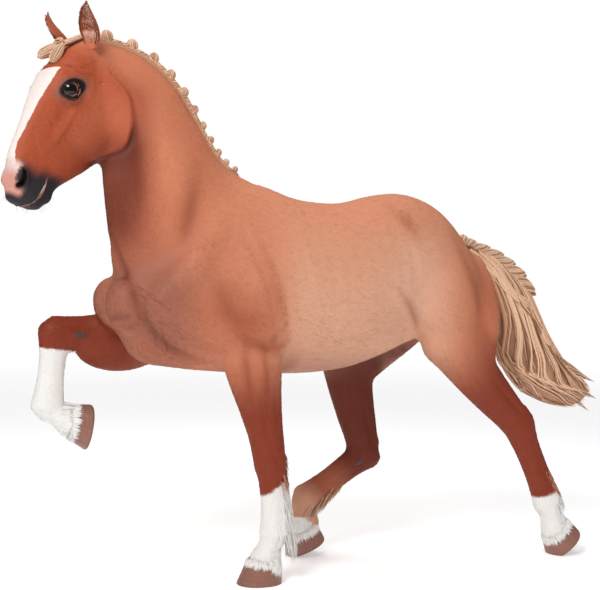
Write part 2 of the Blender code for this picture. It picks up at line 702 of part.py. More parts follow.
def boolean(obj, cutter, operation):
    """The object after one exact Boolean with the cutter."""
    cut = obj.modifiers.new("cut", "BOOLEAN")
    cut.object = cutter
    cut.operation = operation
    cut.solver = "EXACT"
    mesh = evaluated(obj)
    obj.modifiers.clear()
    return mesh


def copy_with(obj, mesh, name):
    made = bpy.data.objects.new(name, mesh)
    bpy.context.scene.collection.objects.link(made)
    return made


def box(low, high, name):
    """A cutter between two corners, given forward, left and up."""
    a, b = at(*low), at(*high)
    mesh = bpy.data.meshes.new(name)
    work = bmesh.new()
    bmesh.ops.create_cube(work, size=1)
    for v in work.verts:
        v.co = Vector([(a[i] + b[i]) / 2 + v.co[i] * abs(a[i] - b[i]) for i in range(3)])
    work.to_mesh(mesh)
    work.free()
    obj = bpy.data.objects.new(name, mesh)
    bpy.context.scene.collection.objects.link(obj)
    return obj


def part_off(body, low, high, name):
    """Cuts what lies in a box off the body, a gap apart, and gives it back as an object of its own."""
    inner = box(low, high, "cut_" + name)
    outer = box([a - GAP * math.copysign(1, b - a) for a, b in zip(low, high)],
                [b + GAP * math.copysign(1, b - a) for a, b in zip(low, high)], "gap_" + name)
    piece = copy_with(body, boolean(body, inner, "INTERSECT"), name)
    body.data = boolean(body, outer, "DIFFERENCE")
    bpy.data.objects.remove(inner)
    bpy.data.objects.remove(outer)
    return piece


def beyond(obj, point, normal):
    """Keeps only what lies beyond a plane, and closes the cut."""
    work = bmesh.new()
    work.from_mesh(obj.data)
    cut = bmesh.ops.bisect_plane(work, geom=work.verts[:] + work.edges[:] + work.faces[:], dist=1e-7,
                                 plane_co=point, plane_no=normal, clear_inner=True)
    edges = [e for e in cut["geom_cut"] if isinstance(e, bmesh.types.BMEdge)]
    if edges:
        bmesh.ops.holes_fill(work, edges=edges)
    bmesh.ops.triangulate(work, faces=work.faces[:])
    bmesh.ops.recalc_face_normals(work, faces=work.faces)
    work.to_mesh(obj.data)
    work.free()
    return obj


def halved(body, point, normal, name):
    """Cuts the body by a plane. What lies beyond it comes back as an object of its own."""
    far = copy_with(body, body.data.copy(), name)
    beyond(far, point + normal * GAP / 2, normal)
    beyond(body, point - normal * GAP / 2, -normal)
    return far


def on_the_floor(obj):
    """Takes off what lies under the floor, so that the toe stands on a small flat."""
    return beyond(obj, at(0, 0, 0), Vector((0, 0, 1)))


def cut_out(obj, solid):
    """Makes room in the object for the solid, which is then removed."""
    obj.data = boolean(obj, solid, "DIFFERENCE")
    bpy.data.objects.remove(solid)


def grown(masses, name):
    """A solid a gap larger all round than the masses."""
    obj = join(masses, name)
    for v in obj.data.vertices:
        v.co += v.normal * GAP
    return obj


WITHERS_CUT = (at(0.670, 0, 1.400), Vector((0, 0.70, -0.71)).normalized())  # point, and way to the trunk
THROAT_CUT = (at(0.925, 0, 1.850), Vector((0, 0.96, -0.28)).normalized())  # point, and way to the neck
LEG_BOXES = {
    # what of the body belongs to each leg: low and high corner, forward, left and up
    "fore_left": ((0.150, 0.070, -0.100), (0.640, 0.420, 0.785)),
    "fore_right": ((0.735, -0.420, 0.450), (1.250, -0.090, 1.045)),
    "hind_left": ((-1.300, 0.040, -0.100), (-0.285, 0.420, 0.850)),
    "hind_right": ((-0.640, -0.420, -0.100), (0.250, -0.040, 0.780)),
}


def head_end(obj, head):
    """The head, off a body that has more faces than the other pieces need."""
    beyond(obj, WITHERS_CUT[0], -WITHERS_CUT[1])
    beyond(obj, THROAT_CUT[0] - THROAT_CUT[1] * GAP, -THROAT_CUT[1])
    for side in (1, -1):
        cut_out(obj, grown([ball(eye_centre(head, side), (EYE,) * 3)], "room"))
        cut_out(obj, grown([ear(head, side)], "room"))
    cut_out(obj, grown([mane_crest()], "room"))
    cut_out(obj, forelock(head, 2 * GAP))


def build_body(home, head):
    """The blended body, parted into legs, head, neck and trunk."""
    body = fused(body_masses(), VOXEL, "body")
    relax(body.data, 60, 6)
    fine = thinned(copy_with(body, body.data.copy(), "fine"), HEAD_TRIANGLES)
    head_end(fine, head)
    node(fine, "head", "coat", home)
    thinned(body, BODY_TRIANGLES)
    for name, leg in LEGS.items():
        cut_out(body, grown([hoof(leg)], "room"))
    cut_out(body, grown([mane_crest()], "room"))
    cut_out(body, tail(3 * GAP))
    for name, (low, high) in LEG_BOXES.items():
        node(part_off(body, low, high, "leg"), "leg_" + name, "coat", home)
    node(halved(body, *WITHERS_CUT, "trunk"), "trunk", "coat", home)
    beyond(body, *THROAT_CUT)
    node(body, "neck", "coat", home)


def forelock(head, extra=0.0):
    obj = fused(forelock_masses(head), 0.008, "forelock")
    thinned(obj, 260)
    for v in obj.data.vertices:
        v.co += v.normal * extra
    return obj


def tail(extra=0.0):
    obj = fused(tail_masses(), 0.012, "tail")
    relax(obj.data, 10, 3)
    thinned(obj, 720)
    for v in obj.data.vertices:
        v.co += v.normal * extra
    return obj


def main():
    for obj in list(bpy.data.objects):
        bpy.data.objects.remove(obj)
    home = bpy.data.collections.new("horse")
    bpy.context.scene.collection.children.link(home)
    head = HeadFrame()
    build_body(home, head)
    for name, leg in LEGS.items():
        on_the_floor(node(join([hoof(leg)], "hoof"), "hoof_" + name, "hoof_horn", home))
    for label, side in (("left", 1), ("right", -1)):
        node(join([ear(head, side)], "ear"), "ear_" + label, "coat", home)
        node(join([ball(eye_centre(head, side), (EYE,) * 3)], "eye"), "eye_" + label, "eye_gloss", home)
    crest = node(join([mane_crest()], "mane"), "mane_crest", "flaxen_hair", home)
    cut_out(crest, forelock(head, 2 * GAP))
    for i, place in enumerate(plait_places()):
        button = node(join([plait(place)], "plait"), "mane_plait_%02d" % (i + 1), "flaxen_hair", home)
        beyond(button, place.foot, place.out)
        if i >= PLAITS - 4:  # here the crest is hollow, and rises beside the plait
            cut_out(button, grown([mane_crest()], "room"))
    node(forelock(head), "forelock", "flaxen_hair", home)
    node(tail(), "tail", "flaxen_hair", home)


if __name__ == "__main__":
    main()
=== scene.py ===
"""The looks of the horse: one skin with a short coat, braided mane and tail, feathered legs, eyes and hooves.

The skin is blended from the same masses as the model's solids, then shaped further by named relief
lines. Distances are in metres. `forward`, `left` and `up` are the horse's own directions.
"""

import math

import bmesh
import bpy
import numpy as np
from mathutils import Matrix, Vector, bvhtree


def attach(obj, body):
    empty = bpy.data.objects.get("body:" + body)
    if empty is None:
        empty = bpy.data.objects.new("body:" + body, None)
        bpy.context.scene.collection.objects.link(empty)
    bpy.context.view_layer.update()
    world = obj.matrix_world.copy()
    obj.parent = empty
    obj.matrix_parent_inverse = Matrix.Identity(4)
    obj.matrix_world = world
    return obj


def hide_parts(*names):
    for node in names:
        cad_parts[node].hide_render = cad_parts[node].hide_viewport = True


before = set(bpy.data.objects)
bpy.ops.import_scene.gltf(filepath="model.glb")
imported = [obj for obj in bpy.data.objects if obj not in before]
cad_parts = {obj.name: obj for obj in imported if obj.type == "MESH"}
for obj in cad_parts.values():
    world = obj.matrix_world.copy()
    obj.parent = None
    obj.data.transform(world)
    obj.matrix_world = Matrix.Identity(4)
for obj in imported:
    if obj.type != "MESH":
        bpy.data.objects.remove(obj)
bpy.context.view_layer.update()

# ---------------------------------------------------------------- driving sizes, as in the model
ORIGIN = Vector((0.0002, 0.0269, 0.0))
VOXEL = 0.012
POLL = (1.022, 0.0, 2.028)  # forward, left, up
HEAD_YAW = math.radians(22)
HEAD_PITCH = math.radians(31.0)
HEAD_SIZE = 1.03
PLAITS = 11
CREST_HEIGHT = 0.016
SEED = 7

# ---------------------------------------------------------------- sizes of the looks
SKIN_DEPTH = 0.0020  # how far the skin lies under the tips of the coat
EYE_PLACE = (0.200, -0.034)  # down the face and out of the forehead
EYEBALL = 0.0395  # radius
LID = 0.0428  # distance of the lids' outside from the middle of the eye
EYE_HALF_LENGTH = 0.0390
EYE_UPPER = 0.0225  # height of the opening above the line between its corners
EYE_LOWER = 0.0190

# ---------------------------------------------------------------- colours
RED_CHESTNUT = (0.240, 0.034, 0.010)
FACE_CHESTNUT = (0.385, 0.071, 0.025)
MID_CHESTNUT = (0.510, 0.165, 0.084)
TAN = (0.575, 0.228, 0.124)
DARK_CHESTNUT = (0.112, 0.018, 0.009)
# the breast: partly its own browner tone, partly painted shade
BREAST_CHESTNUT = (0.325, 0.108, 0.066)
# painted light on the round of the flank
FLANK_LIGHT_TAN = (0.640, 0.345, 0.235)
# painted shade on the underside of the belly
BELLY_SHADE_BROWN = (0.400, 0.185, 0.130)
LOIN_CHESTNUT = (0.560, 0.205, 0.110)
PATCH_CHESTNUT = (0.560, 0.210, 0.115)
SHADE_CHESTNUT = (0.300, 0.075, 0.042)
# painted shade on the triceps above the elbow
TRICEPS_SHADE_CHESTNUT = (0.360, 0.092, 0.042)
# painted light on the round of the cheek
CHEEK_LIGHT_CHESTNUT = (0.500, 0.135, 0.066)
ROUND_EYE = (0.230, 0.095, 0.062)
BLAZE_WHITE = (0.800, 0.700, 0.655)
# the pale lower end of the far hind leg, and painted light on the middle of the barrel
PALE_TAN = (0.600, 0.310, 0.200)
WHITE = (0.790, 0.765, 0.735)
PINK = (0.640, 0.300, 0.240)
MUZZLE_GREY = (0.022, 0.018, 0.023)
EYE_SKIN = (0.011, 0.006, 0.009)
# painted shade inside the nostrils' hollows
NOSTRIL_SHADE = (0.020, 0.009, 0.010)
FLAXEN = (0.640, 0.345, 0.205)
FLAXEN_PALE = (0.840, 0.545, 0.365)
FLAXEN_DARK = (0.270, 0.120, 0.062)
STRIPE_BROWN = (0.240, 0.085, 0.045)
# the inside of the ears: their own pale colour, made lighter still as painted light in the shaded cup
EAR_PALE_LIT = (0.900, 0.600, 0.450)
CALLOUS = (0.085, 0.060, 0.060)
HOOF = (0.255, 0.118, 0.086)
SOLE = (0.200, 0.120, 0.090)


LEFT = Vector((1, 0, 0))


def at(forward, left, up):
    """A point of the horse, from its distances forward, to the left and up."""
    return Vector((left, -forward, up)) - ORIGIN


# ---------------------------------------------------------------- meshes and arrays
def points_of(mesh):
    """The mesh's points as an array."""
    co = np.empty(len(mesh.vertices) * 3, np.float32)
    mesh.vertices.foreach_get("co", co)
    return co.reshape(-1, 3).astype(float)


def normals_of(mesh):
    normals = np.empty(len(mesh.vertices) * 3, np.float32)
    mesh.vertices.foreach_get("normal", normals)
    return normals.reshape(-1, 3).astype(float)


def move_points(mesh, co):
    mesh.vertices.foreach_set("co", co.astype(np.float32).ravel())
    mesh.update()


def turns(count):
    """Angles that are evenly apart, all the way round."""
    return np.linspace(0, 2 * math.pi, count, endpoint=False)


def ring_faces(rings, around):
    """The four-cornered faces between rings of points that follow one another."""
    i = np.arange(rings - 1)[:, None] * around
    j = np.arange(around)[None]
    k = (j + 1) % around
    return np.stack([i + j, i + k, i + around + k, i + around + j], -1).reshape(-1, 4)


def cap(around):
    """The triangles that close a ring, in a fan from its first point."""
    j = np.arange(1, around - 1)
    return np.stack([np.zeros(around - 2, int), j, j + 1], -1)


def closed_faces(rings, around):
    """The faces of a form made of rings, closed at both ends."""
    return [ring_faces(rings, around), cap(around)[:, ::-1], (rings - 1) * around + cap(around)]


# ---------------------------------------------------------------- lofts
def spline(rows, steps):
    """The rows and what lies between them, on a Catmull-Rom curve through them all."""
    rows = np.asarray(rows, float)
    padded = np.vstack([2 * rows[0] - rows[1], rows, 2 * rows[-1] - rows[-2]])
    out = []
    for i in range(1, len(padded) - 2):
        p0, p1, p2, p3 = padded[i - 1 : i + 3]
        for k in range(steps):
            t = k / steps
            out.append(
                0.5 * (2 * p1 + (p2 - p0) * t + (2 * p0 - 5 * p1 + 4 * p2 - p3) * t**2
                       + (3 * p1 - p0 - 3 * p2 + p3) * t**3)
            )
    out.append(rows[-1])
    return np.array(out)


def loft(rows, around=28, steps=4):
    """(points, faces) of a closed form through sections. A row is top point, bottom point, half width,
    how far up the widest level lies, and how square the section is above and below it."""
    flat = [[*top, *bottom, *rest] for top, bottom, *rest in rows]
    rings = spline(flat, steps)
    tops, bottoms = rings[:, :3], rings[:, 3:6]
    width, level, square_up, square_down = rings[:, 6:].T
    centres = bottoms + level[:, None] * (tops - bottoms)
    along = np.gradient(centres, axis=0)
    side = np.cross(tops - bottoms, along)
    side /= np.linalg.norm(side, axis=1)[:, None]
    turn = turns(around)
    points = []
    for i in range(len(rings)):
        for a in turn:
            c, s = math.cos(a), math.sin(a)
            power = 2 / (square_up[i] if s > 0 else square_down[i])
            reach = (tops if s > 0 else bottoms)[i] - centres[i]
            points.append(
                centres[i] + side[i] * width[i] * math.copysign(abs(c) ** power, c)
                + reach * abs(s) ** power
            )
    faces = ring_faces(len(rings), around).tolist()
    last = (len(rings) - 1) * around
    faces.append(tuple(range(around))[::-1])
    faces.append(tuple(last + j for j in range(around)))
    return points, faces


def limb(path, rows, left=LEFT, **kwargs):
    """A loft along a path of points. A row is how far along it lies, its reach to the front and the back
    of the path, and its half width."""
    path = [Vector(p) for p in path]
    lengths = [0.0]
    for a, b in zip(path, path[1:]):
        lengths.append(lengths[-1] + (b - a).length)
    sections = []
    for share, front, back, width in rows:
        here = share * lengths[-1]
        i = max(k for k in range(len(path) - 1) if lengths[k] <= here + 1e-9 or k == 0)
        span = lengths[i + 1] - lengths[i]
        point = path[i].lerp(path[i + 1], (here - lengths[i]) / span)
        along = (path[i + 1] - path[i]).normalized()
        ahead = along.cross(left).normalized()
        sections.append((point + ahead * front, point - ahead * back, width,
                         back / (front + back), 2.1, 2.1))
    return loft(sections, **kwargs)


def ball(centre, radii, turn=None, detail=3):
    """(points, faces) of an ellipsoid, turned by a matrix."""
    mesh = bmesh.new()
    bmesh.ops.create_icosphere(mesh, subdivisions=detail, radius=1)
    turn = turn or Matrix.Identity(3)
    size = Matrix.Diagonal(Vector(radii))
    points = [Vector(centre) + turn @ (size @ v.co) for v in mesh.verts]
    faces = [tuple(v.index for v in f.verts) for f in mesh.faces]
    mesh.free()
    return points, faces


# ---------------------------------------------------------------- head
class HeadFrame:
    """Turns places on the head (down the face, out of the forehead, to the left) into points."""

    def __init__(self):
        facing = Vector((math.sin(HEAD_YAW), -math.cos(HEAD_YAW), 0))
        up = Vector((0, 0, 1))
        self.origin = at(*POLL)
        self.down = facing * math.sin(HEAD_PITCH) - up * math.cos(HEAD_PITCH)
        self.out = facing * math.cos(HEAD_PITCH) + up * math.sin(HEAD_PITCH)
        self.left = Vector((math.cos(HEAD_YAW), math.sin(HEAD_YAW), 0))

    def __call__(self, down, out, left=0.0):
        return self.origin + (self.down * down + self.out * out + self.left * left) * HEAD_SIZE

    def matrix(self):
        return Matrix((self.down, self.out, self.left)).transposed()


HEAD = HeadFrame()


def head_line(path):
    """Places on the head as an array of points."""
    return np.array([tuple(HEAD(*place)) for place in path])


def cheek(head, side):
    """(points, faces) of the round, flat muscle of the jaw."""
    rows = []
    for left, radius in ((0.020, 0.140), (0.062, 0.146), (0.078, 0.138), (0.089, 0.118),
                         (0.096, 0.085), (0.099, 0.040)):
        rows.append((head(0.205, -0.196 + radius, left * side), head(0.205, -0.196 - radius, left * side),
                     radius, 0.5, 2.0, 2.0))
    return loft(rows, around=32, steps=2)


def head_masses(head):
    """The skull from the poll to the lips, with its cheeks, brows, nostrils and lips."""
    profile = (
        # down the face, forehead line, jaw line, half width, widest level, squareness up and down
        (-0.060, -0.050, -0.160, 0.048, 0.55, 2.0, 2.0),
        (0.010, -0.004, -0.215, 0.074, 0.62, 2.2, 2.0),
        (0.085, 0.026, -0.270, 0.090, 0.72, 2.5, 1.9),
        (0.170, 0.042, -0.305, 0.098, 0.76, 2.9, 1.8),
        (0.260, 0.044, -0.322, 0.084, 0.72, 2.6, 1.9),
        (0.340, 0.036, -0.298, 0.070, 0.64, 2.3, 2.1),
        (0.415, 0.026, -0.256, 0.061, 0.58, 2.2, 2.3),
        (0.490, 0.016, -0.211, 0.057, 0.54, 2.3, 2.3),
        (0.545, -0.010, -0.196, 0.057, 0.52, 2.4, 2.3),
        (0.590, -0.036, -0.186, 0.052, 0.50, 2.3, 2.2),
        (0.618, -0.072, -0.158, 0.034, 0.50, 2.0, 2.0),
    )
    rows = [(head(d, top), head(d, low), *rest) for d, top, low, *rest in profile]
    masses = [loft(rows)]
    turn = head.matrix()
    masses.append(ball(head(0.612, -0.085), (0.024, 0.042, 0.042), turn))  # upper lip
    masses.append(ball(head(0.574, -0.166), (0.038, 0.026, 0.036), turn))  # lower lip
    masses.append(ball(head(0.540, -0.190), (0.034, 0.022, 0.030), turn))  # chin
    for side in (1, -1):
        masses.append(cheek(head, side))
        masses.append(ball(head(0.205, -0.022, 0.066 * side), (0.062, 0.040, 0.040), turn))  # brow
        masses.append(ball(head(0.545, -0.050, 0.034 * side), (0.046, 0.036, 0.028), turn))  # nostril
        masses.append(ball(head(0.060, -0.055, 0.050 * side), (0.062, 0.055, 0.040), turn))  # temple
        masses.append(limb([head(0.250, -0.080, 0.072 * side), head(0.395, -0.075, 0.048 * side)],
                           ((0.0, 0.020, 0.026, 0.018), (1.0, 0.012, 0.016, 0.013)),
                           left=head.left, around=12))  # the ridge below the eye
    return masses


# ---------------------------------------------------------------- neck and trunk
def neck_masses():
    """The neck, from the poll and throat to the withers and breast."""
    sections = (
        # crest (forward, up), throat (forward, up), half width, widest level, squareness
        ((0.945, 2.018), (0.915, 1.790), 0.072, 0.62, 2.0, 1.8),
        ((0.850, 2.018), (0.918, 1.640), 0.078, 0.58, 1.9, 1.8),
        ((0.750, 1.982), (0.912, 1.530), 0.088, 0.52, 1.8, 1.9),
        ((0.640, 1.892), (0.900, 1.420), 0.104, 0.45, 1.8, 2.0),
        ((0.542, 1.745), (0.885, 1.310), 0.122, 0.42, 1.8, 2.1),
        ((0.440, 1.598), (0.870, 1.200), 0.145, 0.40, 1.7, 2.2),
        ((0.300, 1.525), (0.830, 1.060), 0.165, 0.42, 1.7, 2.2),
    )
    rows = [(at(c[0], 0, c[1]), at(t[0], 0, t[1]), *rest) for c, t, *rest in sections]
    return [loft(rows)]


def trunk_masses():
    """The barrel from the breast to the buttocks."""
    sections = (
        # forward, back line, belly line, half width, widest level, squareness up and down
        (0.852, 1.180, 0.960, 0.080, 0.50, 2.0, 2.0),
        (0.780, 1.300, 0.850, 0.160, 0.50, 2.0, 2.1),
        (0.640, 1.420, 0.816, 0.200, 0.48, 1.9, 2.2),
        (0.460, 1.520, 0.795, 0.220, 0.47, 1.8, 2.2),
        (0.300, 1.528, 0.785, 0.238, 0.45, 1.7, 2.2),
        (0.130, 1.474, 0.780, 0.275, 0.45, 1.9, 2.2),
        (-0.050, 1.462, 0.795, 0.300, 0.46, 2.1, 2.2),
        (-0.200, 1.496, 0.835, 0.290, 0.48, 2.2, 2.2),
        (-0.340, 1.506, 0.890, 0.265, 0.50, 2.2, 2.1),
        (-0.480, 1.450, 0.960, 0.232, 0.52, 2.1, 2.1),
        (-0.600, 1.314, 1.020, 0.185, 0.52, 2.1, 2.0),
        (-0.690, 1.195, 1.060, 0.110, 0.50, 2.0, 2.0),
    )
    rows = [(at(f, 0, top), at(f, 0, low), *rest) for f, top, low, *rest in sections]
    masses = [loft(rows)]
    for side in (1, -1):
        masses.append(ball(at(0.832, 0.085 * side, 1.065), (0.085, 0.090, 0.108)))  # breast
    return masses


# ---------------------------------------------------------------- limbs
class Leg:
    """The joints of one leg, from forward, left and up. The toe is the way that the hoof points."""

    def __init__(self, toe, **joints):
        self.fore = "elbow" in joints
        self.toe = (at(*toe) - at(0, 0, 0)).normalized()
        for joint, place in joints.items():
            setattr(self, joint, at(*place))
        self.side = 1 if self.sole.x > -ORIGIN.x else -1
        self.top = self.elbow if self.fore else self.stifle
        self.knee_or_hock = self.knee if self.fore else self.hock

    def lower_frame(self):
        """The way down the lower leg, ahead of it and to the left."""
        down = (self.fetlock - self.knee_or_hock).normalized()
        ahead = down.cross(LEFT).normalized()
        if (self.fore and ahead.dot(self.toe) < 0) or (not self.fore and ahead.y > 0):
            ahead.negate()
        return np.array(down), np.array(ahead), np.array(LEFT)


FORE_LEFT = dict(
    toe=(1, 0, 0),
    withers=(0.36, 0.09, 1.42), point=(0.74, 0.165, 1.06), elbow=(0.365, 0.185, 0.915),
    knee=(0.298, 0.175, 0.462), fetlock=(0.276, 0.168, 0.182), coronet=(0.316, 0.165, 0.088),
    sole=(0.327, 0.165, -0.014),
)
FORE_RIGHT = dict(
    toe=(-0.3, 0, -1),
    withers=(0.38, -0.09, 1.42), point=(0.76, -0.165, 1.06), elbow=(0.600, -0.185, 0.905),
    knee=(1.048, -0.180, 0.945), fetlock=(1.084, -0.170, 0.660), coronet=(0.990, -0.165, 0.598),
    sole=(0.916, -0.160, 0.586),
)
HIND_LEFT = dict(
    toe=(0.7, 0, -1),
    hip=(-0.47, 0.13, 1.25), buttock=(-0.66, 0.09, 1.16), stifle=(-0.425, 0.20, 0.92),
    hock=(-0.825, 0.175, 0.545), fetlock=(-0.965, 0.185, 0.215), coronet=(-1.005, 0.185, 0.105),
    sole=(-1.060, 0.185, 0.040),
)
HIND_RIGHT = dict(
    toe=(0.55, 0, -1),
    hip=(-0.45, -0.13, 1.25), buttock=(-0.66, -0.09, 1.16), stifle=(-0.15, -0.20, 0.90),
    hock=(-0.278, -0.172, 0.408), fetlock=(0.002, -0.170, 0.236), coronet=(0.014, -0.170, 0.108),
    sole=(-0.018, -0.170, 0.034),
)

FOREARM = (
    # share of the bone, reach to the front, reach to the back, half width
    (-0.10, 0.080, 0.080, 0.050), (0.05, 0.140, 0.100, 0.074), (0.25, 0.130, 0.088, 0.076),
    (0.50, 0.102, 0.074, 0.064), (0.75, 0.076, 0.068, 0.053), (0.92, 0.068, 0.066, 0.053),
    (1.04, 0.066, 0.058, 0.051),
)
FORE_CANNON = (
    (-0.16, 0.040, 0.040, 0.036), (-0.04, 0.065, 0.064, 0.054), (0.12, 0.058, 0.064, 0.050),
    (0.30, 0.049, 0.060, 0.043), (0.60, 0.046, 0.062, 0.041), (0.85, 0.052, 0.070, 0.046),
    (1.00, 0.058, 0.074, 0.051), (1.10, 0.036, 0.044, 0.036),
)
GASKIN = (
    (-0.12, 0.050, 0.090, 0.060), (0.02, 0.088, 0.150, 0.085), (0.20, 0.084, 0.140, 0.088),
    (0.42, 0.084, 0.116, 0.072), (0.65, 0.078, 0.098, 0.056), (0.85, 0.068, 0.084, 0.050),
    (1.00, 0.064, 0.070, 0.049), (1.10, 0.030, 0.050, 0.036),
)
HIND_CANNON = (
    (-0.18, 0.030, 0.060, 0.034), (-0.05, 0.066, 0.078, 0.051), (0.10, 0.064, 0.068, 0.050),
    (0.28, 0.055, 0.062, 0.044), (0.60, 0.050, 0.064, 0.041), (0.86, 0.054, 0.070, 0.046),
    (1.00, 0.060, 0.066, 0.050), (1.10, 0.036, 0.040, 0.036),
)
PASTERN = (
    (-0.20, 0.040, 0.046, 0.040), (0.10, 0.050, 0.058, 0.048), (0.50, 0.044, 0.046, 0.044),
    (1.00, 0.058, 0.056, 0.058), (1.15, 0.056, 0.056, 0.056),
)


LEGS = {
    "fore_left": Leg(**FORE_LEFT),
    "fore_right": Leg(**FORE_RIGHT),
    "hind_left": Leg(**HIND_LEFT),
    "hind_right": Leg(**HIND_RIGHT),
}


def leg_masses(leg):
    return fore_masses(leg) if leg.fore else hind_masses(leg)


def fore_masses(leg):
    """Shoulder blade, upper arm and the leg below it, to the coronet."""
    out = leg.side
    elbow_back = leg.elbow + Vector((0, 0.05, 0.03))
    lifted = [ball(at(0.790, -0.185, 0.885), (0.078, 0.180, 0.098))] if leg.knee.z > leg.elbow.z else []
    return lifted + [
        limb([leg.withers, leg.point], ((0.0, 0.06, 0.10, 0.04), (0.3, 0.10, 0.12, 0.065),
             (0.65, 0.10, 0.12, 0.080), (0.95, 0.08, 0.09, 0.080), (1.08, 0.05, 0.05, 0.050))),
        limb([leg.point, leg.elbow], ((-0.1, 0.06, 0.05, 0.05), (0.1, 0.09, 0.08, 0.075),
             (0.6, 0.10, 0.10, 0.075), (1.1, 0.07, 0.08, 0.060))),
        limb([leg.withers + Vector((0.02 * out, 0.12, -0.14)), elbow_back],
             ((0.0, 0.08, 0.06, 0.04), (0.4, 0.14, 0.10, 0.065), (0.75, 0.13, 0.09, 0.070),
              (1.05, 0.06, 0.05, 0.045))),
        limb([leg.elbow, leg.knee], FOREARM),
        limb([leg.knee, leg.fetlock], FORE_CANNON),
        limb([leg.fetlock, leg.coronet], PASTERN),
    ]


def hind_masses(leg):
    """Croup, thigh, gaskin and the leg below it, to the coronet."""
    flank = leg.hip + Vector((0.0, -0.20, 0.06))
    gaskin_back = leg.stifle.lerp(leg.hock, 0.38) + Vector((0, 0.05, 0.02))
    return [
        limb([leg.hip + Vector((0, -0.06, 0.12)), leg.hip, leg.stifle],
             ((0.0, 0.08, 0.03, 0.04), (0.3, 0.16, 0.13, 0.105), (0.6, 0.17, 0.18, 0.120),
              (0.9, 0.12, 0.15, 0.095), (1.08, 0.06, 0.08, 0.060))),
        limb([leg.buttock + Vector((0, 0, 0.10)), leg.buttock, gaskin_back],
             ((0.0, 0.08, 0.00, 0.04), (0.25, 0.12, 0.06, 0.085), (0.55, 0.14, 0.08, 0.100),
              (0.85, 0.10, 0.06, 0.075), (1.0, 0.07, 0.05, 0.055))),
        limb([flank, leg.stifle], ((0.0, 0.03, 0.08, 0.05), (0.4, 0.05, 0.10, 0.07),
             (0.8, 0.07, 0.10, 0.08), (1.05, 0.05, 0.07, 0.06))),
        limb([leg.stifle, leg.hock], GASKIN),
        limb([leg.hock, leg.fetlock], HIND_CANNON),
        limb([leg.fetlock, leg.coronet], PASTERN),
    ]


# ---------------------------------------------------------------- blending
def join(masses, name):
    """One mesh object of all the masses, still overlapping."""
    points, faces = [], []
    for mass_points, mass_faces in masses:
        start = len(points)
        points += [tuple(p) for p in mass_points]
        faces += [tuple(start + i for i in f) for f in mass_faces]
    mesh = bpy.data.meshes.new(name)
    mesh.from_pydata(points, [], faces)
    work = bmesh.new()
    work.from_mesh(mesh)
    bmesh.ops.recalc_face_normals(work, faces=work.faces)
    bmesh.ops.triangulate(work, faces=work.faces[:])
    work.to_mesh(mesh)
    work.free()
    obj = bpy.data.objects.new(name, mesh)
    bpy.context.scene.collection.objects.link(obj)
    return obj


def evaluated(obj):
    """A new mesh of the object with its modifiers applied."""
    graph = bpy.context.evaluated_depsgraph_get()
    return bpy.data.meshes.new_from_object(obj.evaluated_get(graph))


def fused(masses, voxel, name):
    """The masses as one closed skin of small squares."""
    obj = join(masses, name)
    remesh = obj.modifiers.new("fuse", "REMESH")
    remesh.mode = "VOXEL"
    remesh.voxel_size = voxel
    mesh = evaluated(obj)
    obj.modifiers.clear()
    obj.data = mesh
    return obj


def fill_strength(co):
    """How much of each crease is filled: little on the head, and all of it on the body."""
    away = np.linalg.norm(co - np.array(HEAD(0.30, -0.14)), axis=1)
    return 0.10 + 0.90 * np.clip((away - 0.30) / 0.22, 0, 1)


class Neighbours:
    """The edges of a mesh, or those that touch its chosen points, for the mean of each point's neighbours."""

    def __init__(self, mesh, chosen=None):
        ends = np.empty(len(mesh.edges) * 2, np.int32)
        mesh.edges.foreach_get("vertices", ends)
        self.a, self.b = ends.reshape(-1, 2).T
        if chosen is not None:
            use = chosen[self.a] | chosen[self.b]
            self.a, self.b = self.a[use], self.b[use]
        count = len(mesh.vertices)
        degree = np.bincount(self.a, minlength=count) + np.bincount(self.b, minlength=count)
        self.degree = np.maximum(degree, 1)[:, None]

    def pull(self, co):
        """The way from each point to the mean of its neighbours."""
        a, b, count = self.a, self.b, len(co)
        total = np.stack([np.bincount(a, v[b], count) + np.bincount(b, v[a], count) for v in co.T], 1)
        return total / self.degree - co


FILL_STEPS = 60  # of filling the creases between the body's masses
SMOOTH_STEPS = 6
FILL = 0.5  # of the way to the neighbours, in each step that fills the creases
NORMALS_EVERY = 10  # steps


def relax(mesh, fill_steps, smooth_steps):
    """Fills the creases between the masses, which leaves what bulges as it is, then evens all of it."""
    co = points_of(mesh)
    pull = Neighbours(mesh).pull
    strength = fill_strength(co)[:, None]
    for step in range(fill_steps):
        if step % NORMALS_EVERY == 0:
            move_points(mesh, co)
            facing = normals_of(mesh)
        rise = (pull(co) * facing).sum(1)
        co += FILL * strength * np.clip(rise, 0, None)[:, None] * facing
    for step in range(smooth_steps):
        co += 0.35 * pull(co)
        co -= 0.35 * 1.03 * pull(co)
        co += 0.12 * pull(co)
    move_points(mesh, co)


def body_masses():
    """Everything that is blended into the body."""
    masses = head_masses(HEAD) + neck_masses() + trunk_masses()
    for leg in LEGS.values():
        masses += leg_masses(leg)
    return masses


# ---------------------------------------------------------------- ears and eyes
EAR_TIPS = {1: (-0.082, 0.094, 0.120), -1: (-0.086, 0.076, -0.138)}  # down, out, left
EAR_BENDS = {1: 0.000, -1: 0.014}  # how far the middle of each ear leans forward
EAR_OPENINGS = {1: 0.30, -1: -0.95}  # how far to the left each cup opens, for one part out of the forehead
EAR_ROWS = (
    # share of the length, half width, depth of the cup, thickness, lean of the middle
    (-0.10, 0.028, 0.022, 0.016, -0.004), (0.05, 0.037, 0.036, 0.012, -0.004),
    (0.25, 0.046, 0.042, 0.007, 0.000), (0.50, 0.044, 0.036, 0.0055, 0.004),
    (0.75, 0.029, 0.023, 0.0050, 0.006), (0.93, 0.011, 0.010, 0.0045, 0.001),
    (1.00, 0.004, 0.004, 0.0040, -0.004),
)


